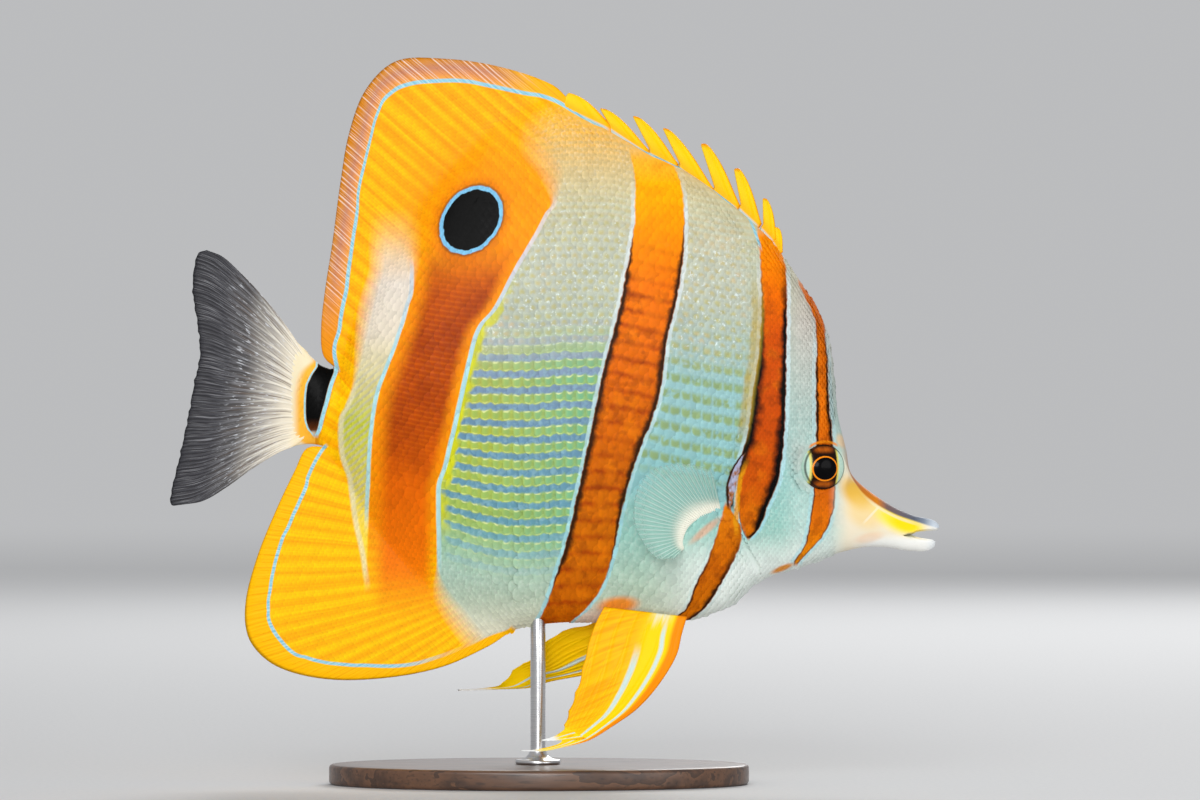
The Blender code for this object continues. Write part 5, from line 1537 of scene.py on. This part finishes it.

# ------------------------------------------------------------------------- caudal fin
# The tail fin: a thin fan of branching rays with smoky grey skin between them, cream and
# fleshy at its foot, its hind edge slightly frayed where the rays end.
TAIL_TOP = [(-48.2, 82.6), (-50.6, 87.2), (-54.4, 92.8), (-58.8, 98.2), (-62.8, 102.4),
            (-66.4, 105.6), (-69.6, 106.8)]
TAIL_LOW = [(-49.4, 69.6), (-52.0, 67.6), (-55.2, 66.2), (-60.4, 63.0), (-65.4, 59.4),
            (-70.2, 56.6), (-74.8, 55.8)]
TAIL_EDGE = [(-69.6, 106.8), (-71.2, 106.2), (-72.1, 103.4), (-72.4, 98.4), (-71.4, 91.6),
             (-71.0, 85.6), (-72.0, 80.8), (-73.2, 74.2), (-75.0, 65.6), (-76.8, 57.8),
             (-76.6, 55.8), (-74.8, 55.8)]
TAIL_RAYS = 17


def along_path(points, shares, steps=12):
    """Points at shares of the length of a smooth path."""
    path = smooth_path(points, steps)
    marks = np.concatenate([[0.0], np.cumsum(np.linalg.norm(np.diff(path, axis=0), axis=1))])
    marks /= marks[-1]
    return np.stack([np.interp(shares, marks, path[:, k]) for k in range(path.shape[1])], axis=-1)


def branching(u, v, count, first, second, lengths, width):
    """Height (0 to 1) of rays that fork at two places, over shares along (u) and across (v)."""
    height = np.zeros(np.broadcast(u, v).shape)
    gap = 1.0 / count
    spread = gap * 0.25 * ease(u, first, first + 0.3)
    finer = gap * 0.125 * ease(u, second, second + 0.25)
    for k in range(count):
        for a in (-1, 1):
            for b in (-1, 1):
                off = (v - (k + 0.5) * gap - a * spread - b * finer) * lengths
                height = np.maximum(height, np.exp(-(off / width) ** 2))
    return height


def ray_fields(u, v, rays_high):
    """The fields that the paint of a rayed fin needs."""
    return {"along": np.tile(u, (1, v.shape[1])), "across": np.tile(v, (len(u), 1)),
            "ray": rays_high}


u = np.linspace(0.0, 1.0, 56)[:, None]
v = np.linspace(0.0, 1.0, 401)[None, :]
top = along_path(TAIL_TOP, u[:, 0])
low = along_path(TAIL_LOW, u[:, 0])
hind = along_path(TAIL_EDGE, v[0])
plain = top[:, None] * (1 - v[..., None]) + low[:, None] * v[..., None]
points = plain + (u ** 1.6)[..., None] * (hind - plain[-1])[None]
fray = (0.1 * np.abs(np.sin(v * math.pi * TAIL_RAYS * 2))
        + 0.05 * np.sin(v * 171.0) + 0.08 * np.sin(v * 97.0))
points[..., 0] += ease(u, 0.9, 1.0) * (0.1 + fray * np.sin(np.pi * v) ** 0.3)
lengths = np.linalg.norm(top - low, axis=1)[:, None]
rays_high = branching(u, v, TAIL_RAYS, 0.28, 0.58, lengths, 0.21)
membrane = np.interp(u, [0.0, 0.12, 0.3, 1.0], [0.75, 0.55, 0.30, 0.16]) * np.ones_like(v)
stiff = np.exp(-((v - 0.012) * lengths / 0.7) ** 2) + np.exp(-((v - 0.988) * lengths / 0.7) ** 2)
half = membrane + (0.15 - 0.09 * u) * rays_high + 0.12 * stiff * (1 - 0.5 * u)
middle = np.stack([points[..., 0], np.zeros_like(half), points[..., 1]], axis=-1)
tail_fields = ray_fields(u, v, rays_high)

tail_paint, mix = new_material("tail_fin_paint")
along, across, ray = map(mix.field, ("along", "across", "ray"))
streak = mix.threads(across * 90, along * 2)
smoke = along.ramp(0, 1, (0.08, 242, 230, 204), (0.24, 226, 216, 196), (0.4, 168, 162, 154),
                   (0.62, 80, 78, 78), (0.8, 52, 51, 54), (1, 42, 42, 46))
rib = along.ramp(0, 1, (0.1, 248, 238, 214), (0.35, 228, 222, 208), (0.6, 118, 117, 119),
                 (0.8, 70, 70, 75), (1, 60, 60, 64))
mix.colour = mix.blend(ray.step(0.25, 0.8), smoke, rib)
brown = streak.step(0.5, 0.66) * along.within(0.16, 0.66, 0.24) * (1 - ray * 0.7)
mix.lay((104, 88, 76), brown * 0.75)
thread = mix.threads(across * 300, along * 4)
mix.lay((176, 176, 180), thread.step(0.54, 0.68) * along.step(0.1, 0.3) * 0.35)
mix.lay((44, 42, 46), thread.step(0.46, 0.34) * along.step(0.2, 0.5) * 0.5)
glint = mix.threads(across * 150, along * 14)
mix.lay((224, 228, 234), glint.step(0.6, 0.7) * along.within(0.2, 0.72, 0.3) * 0.8)
mix.lay((246, 226, 184), along.step(0.17, 0.09) * 0.8)
mix.wire("Base Color", mix.colour)
mix.wire("Roughness", streak * 0.2 + 0.32)
mix.lacquer(0.08, 0.02, 0.2)
tail = sheet_piece("tail_fin", middle, half, tail_fields, tail_paint)
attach(tail, "root")
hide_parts("caudal_fin")

# ------------------------------------------------------------------------- pelvic fins
# The pelvic fins hang from the breast and trail backwards: a spine along the leading edge,
# soft rays behind it, yellow skin with pale blue stripes, and white drawn-out tips.
PELVIC_RIGHT = [
    ((26.6, 33.6), (10.0, 35.6), 3.4, 5.0, 0.55), ((25.6, 30.4), (8.0, 31.6), 4.2, 5.4, 0.50),
    ((24.4, 25.8), (6.4, 26.6), 5.4, 6.0, 0.45), ((20.8, 20.0), (4.7, 20.2), 7.0, 7.0, 0.42),
    ((16.6, 15.4), (3.1, 15.6), 8.2, 8.0, 0.40), ((11.6, 11.9), (2.0, 12.2), 9.2, 8.8, 0.38),
    ((7.0, 9.2), (2.2, 10.4), 10.0, 9.6, 0.36), ((2.0, 7.9), (0.9, 8.6), 10.5, 10.3, 0.33),
    ((-2.4, 7.1), (-3.2, 7.5), 10.9, 10.8, 0.28), ((-6.6, 7.2), (-6.7, 7.3), 11.1, 11.1, 0.20)]
PELVIC_TIP = [
    ((6.6, 9.6), (2.1, 12.0), 9.9, 9.3, 0.34), ((3.2, 9.3), (1.7, 11.1), 10.1, 9.6, 0.32),
    ((0.6, 9.2), (0.0, 10.0), 10.2, 9.9, 0.28), ((-2.4, 9.15), (-2.5, 9.3), 10.3, 10.2, 0.20)]
PELVIC_LEFT = [
    ((26.6, 33.6), (10.0, 35.6), 3.4, 5.0, 0.55), ((24.0, 29.0), (7.6, 32.0), 4.4, 5.4, 0.50),
    ((17.2, 24.4), (2.6, 30.8), 6.4, 6.0, 0.45), ((10.0, 22.0), (-1.8, 28.2), 8.4, 7.4, 0.42),
    ((4.2, 21.0), (-5.0, 24.6), 9.8, 9.0, 0.40), ((-0.8, 20.0), (-8.0, 22.8), 11.0, 10.4, 0.37),
    ((-5.2, 18.7), (-10.8, 19.6), 12.0, 11.8, 0.34),
    ((-11.0, 18.4), (-13.2, 18.8), 12.8, 12.7, 0.30),
    ((-19.4, 18.1), (-19.6, 18.3), 13.4, 13.4, 0.20)]

pelvic_paint, mix = new_material("pelvic_fin_paint")
along, across, ray = map(mix.field, ("along", "across", "ray"))
streak = mix.threads(across * 30, along * 3)
mix.colour = mix.blend(across.step(0.34, 0.56), (254, 214, 4), (254, 184, 3))
mix.lay((254, 226, 4), along.step(0.5, 0.75) * 0.8)
mix.lay((255, 212, 20), ray.step(0.3, 0.8) * 0.3)
oblique = mix.threads((along - across * 0.2) * 46, across * 2)
mix.lay((246, 150, 3), oblique.step(0.5, 0.66) * across.step(0.36, 0.56) * 0.55)
mix.lay((255, 206, 10), oblique.step(0.48, 0.36) * across.step(0.36, 0.56) * 0.4)
mix.lay((248, 142, 4), across.step(0.15, 0.09) * along.step(0.86, 0.66))
# The left fin (+Y) lies in the body's shade, so it is painted a lighter, even yellow: painted
# light that makes up for that shade.
mix.lay((255, 212, 6), mix.measure(mix.place(), 0, 1000, 0).step(0, 1) * 0.8)
sway = (mix.noise(mix.join(along * 6, 0.5), 1, 1) - 0.5) * 0.06
for wide, first, *run in ((0.024, 0.02, (0, 0.22), (0.5, 0.16), (1, 0.22)),
                          (0.036, 0.16, (0.1, 0.48), (0.5, 0.37), (0.85, 0.56))):
    off = across - along.ramp(0, 1, *run) + sway
    stripe = off.within(-wide, wide, 0.03) * along.step(first, first + 0.12)
    mix.lay((200, 226, 226), stripe * 0.92)
pale_root = (along + streak * 0.2).step(0.2, 0.07) * across.within(0.2, 0.38, 0.16)
mix.lay((226, 232, 220), pale_root * 0.9)
mix.lay((240, 242, 240), along.step(0.86, 0.93))
mix.wire("Base Color", mix.colour)
mix.wire("Roughness", streak * 0.2 + 0.32)
mix.lacquer(0.05, 0.03, 0.2)


def pelvic_sheet(name, side, chords, first):
    """A blade through chords; first is the share of the fin's length where it begins."""
    lines = smooth_path([(*lead, *trail, *sizes) for lead, trail, *sizes in chords], 12)
    u = np.linspace(first, 1.0, len(lines))[:, None]
    v = np.linspace(0.0, 1.0, 97)[None, :]
    x = lines[:, 0:1] * (1 - v) + lines[:, 2:3] * v
    z = lines[:, 1:2] * (1 - v) + lines[:, 3:4] * v
    out = lines[:, 4:5] * (1 - v) + lines[:, 5:6] * v
    wide = np.hypot(lines[:, 0] - lines[:, 2], lines[:, 1] - lines[:, 3])[:, None]
    rays_high = branching(u, v, 6, 0.15, 0.45, wide, 0.24)
    spine = np.exp(-((v - 0.035) * wide / 0.55) ** 2)
    out = out + 0.35 * np.sin(v * 7.0 + u * 3.0) * ease(u, 0.1, 0.4) * np.clip(wide / 14.0, 0, 1)
    half = ((lines[:, 6:7] * 0.42 + 0.16 * rays_high + 0.2 * spine * (1 - u))
            * np.clip(wide / 1.2, 0.35, 1.0))
    x = (x + 0.4 * np.abs(np.sin(u * 34.0)) * ease(v, 0.93, 1.0) * ease(u, 0.15, 0.3)
         * ease(u, 0.85, 0.7))
    middle = np.stack([x, side * out, z], axis=-1)
    return sheet_piece(name, middle, half, ray_fields(u, v, rays_high), pelvic_paint)


for side, hand, chords in ((-1, "right", PELVIC_RIGHT), (1, "left", PELVIC_LEFT)):
    fin = pelvic_sheet("pelvic_fin_" + hand + "_skin", side, chords, 0.0)
    if hand == "right":
        joined([fin, pelvic_sheet("pelvic_tip", side, PELVIC_TIP, 0.72)])
    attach(fin, "root")
    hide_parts("pelvic_fin_" + hand)

# ----------------------------------------------------------------------- pectoral fins
# The pectoral fins are clear fans with some thirty fine pale rays from a curved cream root
# behind the gill cover; thin cast skin, so that the flank shows faintly through it.
PECTORAL_ROOT = [(33.3, 54.8), (30.3, 53.6), (27.2, 51.5), (25.9, 48.9), (26.0, 47.2)]
PECTORAL_EDGE = [(31.6, 62.6), (27.0, 64.0), (20.4, 63.2), (17.0, 59.6), (16.0, 54.0),
                 (17.2, 49.6), (20.4, 45.6), (24.0, 45.4)]
PECTORAL_FLARE = 8.0
PECTORAL_SUNK = 0.9
PECTORAL_RAYS = 32

clear_paint, mix = new_material("pectoral_fin_paint")
along, across, ray = map(mix.field, ("along", "across", "ray"))
streak = mix.threads(across * 60, along * 2)
skin_tone = mix.blend(streak, (166, 216, 204), (184, 224, 212))
on_ray = ray.step(0.3, 0.8)
mix.colour = mix.blend(on_ray * 0.55, skin_tone, (224, 238, 232))
mix.lay((242, 240, 224), along.step(0.4, 0.1))
mix.wire("Base Color", mix.colour)
cover = (on_ray * 0.3 + 0.5) * (along.step(1, 0.7) * 0.6 + 0.4)
cover = cover.most(along.step(0.5, 0.1))
mix.wire("Alpha", cover)
mix.wire("Roughness", streak * 0.15 + 0.25)
mix.lacquer(0.05, 0.02, 0.15)

u = np.linspace(0.0, 1.0, 34)[:, None]
v = np.linspace(0.0, 1.0, 257)[None, :]
root = along_path(PECTORAL_ROOT, v[0])
edge_line = along_path(PECTORAL_EDGE, v[0])
frill = 1.0 + 0.018 * np.abs(np.sin(v * math.pi * PECTORAL_RAYS)) * ease(u, 0.8, 1.0)
points = root[None] + ((edge_line - root)[None]) * (u * frill)[..., None]
flank = look_up(half_map, root[:, 0], root[:, 1])[None, :] + SCALE_DEPTH
lengths = np.interp(u, [0.0, 1.0], [11.5, 40.0])
rays_high = branching(u, v, PECTORAL_RAYS, 2.0, 2.0, lengths, 0.09 + 0.13 * u)
half = np.interp(u, [0.0, 0.15, 0.4, 1.0], [0.55, 0.4, 0.17, 0.10]) + (0.10 - 0.06 * u) * rays_high
out = (flank - PECTORAL_SUNK + PECTORAL_FLARE * u ** 1.1
       + 0.12 * np.sin(v * math.pi * PECTORAL_RAYS * 2) * u)
for side, hand in ((-1, "right"), (1, "left")):
    middle = np.stack([points[..., 0], side * out, points[..., 1]], axis=-1)
    fin = sheet_piece("pectoral_fin_" + hand + "_skin", middle, half,
                      ray_fields(u, v, rays_high), clear_paint)
    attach(fin, "root")
    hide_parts("pectoral_fin_" + hand)

# ----------------------------------------------------------------------------- stand
# An oval base turned from dark stained wood with rounded edges under satin lacquer, and
# one brushed steel rod with a flared foot that is screwed to it and enters the belly.
STAND_CENTRE_X = -3.0
STAND_LENGTH, STAND_WIDTH, STAND_THICK, STAND_EDGE = 84.0, 52.0, 4.0, 0.8
ROD_X = -3.2
ROD_RADIUS, ROD_FOOT_RADIUS, ROD_TOP = 1.5, 4.5, 38.5

wood, mix = new_material("stand_wood")
broad, fine = mix.grain((14, 160, 90), 4, 0.6), mix.grain((120, 2600, 1800), 3)
grain = (broad * 7).fract()
mix.colour = mix.blend(grain.step(0, 1), (62, 40, 27), (98, 66, 44))
mix.lay((40, 25, 17), fine.step(0.52, 0.72) * 0.6)
mix.wire("Base Color", mix.colour)
mix.wire("Roughness", fine * 0.2 + 0.3)
mix.bump(fine, 0.2, 0.00005)
mix.lacquer(0.5, 0.35, 0.18)

bends = np.linspace(0.0, math.pi / 2, 7)
spins = np.linspace(0.0, 2 * math.pi, 128, endpoint=False)


def oval(inset, high):
    """A ring around the base, so far inside its outline and so high."""
    return np.stack([STAND_CENTRE_X + (STAND_LENGTH / 2 - inset) * np.cos(spins),
                     (STAND_WIDTH / 2 - inset) * np.sin(spins), np.full(len(spins), high)], axis=1)


rows = [oval(6.0, 0.0)]
rows += [oval(STAND_EDGE * (1 - math.sin(b)), STAND_EDGE * (1 - math.cos(b))) for b in bends]
rows += [oval(STAND_EDGE * (1 - math.cos(b)), STAND_THICK - STAND_EDGE * (1 - math.sin(b)))
         for b in bends]
rows += [oval(6.0, STAND_THICK)]


def capped(name, rows, material):
    """A closed solid from round rows, with both ends filled by a fan of faces."""
    item = round_mesh(name, np.array(rows), material)
    build = bmesh.new()
    build.from_mesh(item.data)
    build.verts.ensure_lookup_table()
    count = len(rows[0])
    for loop in (build.verts[:count], build.verts[-count:]):
        middle = build.verts.new(sum((vert.co for vert in loop), Vector()) / count)
        for i in range(count):
            build.faces.new((loop[i], loop[(i + 1) % count], middle))
    bmesh.ops.recalc_face_normals(build, faces=build.faces)
    build.to_mesh(item.data)
    build.free()
    item.data.shade_smooth()
    return item


base = capped("stand_base_wood", rows, wood)
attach(base, "root")
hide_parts("stand_base")

steel, mix = new_material("stand_steel")
turned = mix.grain((30, 30, 6000), 3)
mix.colour = mix.blend(turned, (0.5, 0.5, 0.51, 1), (0.68, 0.68, 0.69, 1))
mix.wire("Base Color", mix.colour)
mix.wire("Roughness", turned * 0.18 + 0.2)
mix.bump(turned, 0.15, 0.00003)
mix.shader.inputs["Metallic"].default_value = 1.0

profile = [(ROD_FOOT_RADIUS - 0.15, STAND_THICK), (ROD_FOOT_RADIUS, STAND_THICK + 0.15),
           (ROD_FOOT_RADIUS, STAND_THICK + 0.75), (ROD_FOOT_RADIUS - 0.15, STAND_THICK + 0.9)]
flare = ROD_FOOT_RADIUS - ROD_RADIUS - 0.4
for b in np.linspace(0.1, math.pi / 2, 10):
    profile.append((ROD_RADIUS + flare * (1 - math.sin(b)),
                    STAND_THICK + 0.9 + 2.4 * (1 - math.cos(b))))
profile += [(ROD_RADIUS, 14.0), (ROD_RADIUS, 24.0), (ROD_RADIUS, ROD_TOP - 0.5),
            (ROD_RADIUS - 0.5, ROD_TOP)]
spins = np.linspace(0.0, 2 * math.pi, 48, endpoint=False)
rod = capped("stand_rod_steel", [np.stack([ROD_X + r * np.cos(spins), r * np.sin(spins),
                                           np.full(48, h)], axis=1) for r, h in profile], steel)
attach(rod, "root")
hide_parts("stand_rod")
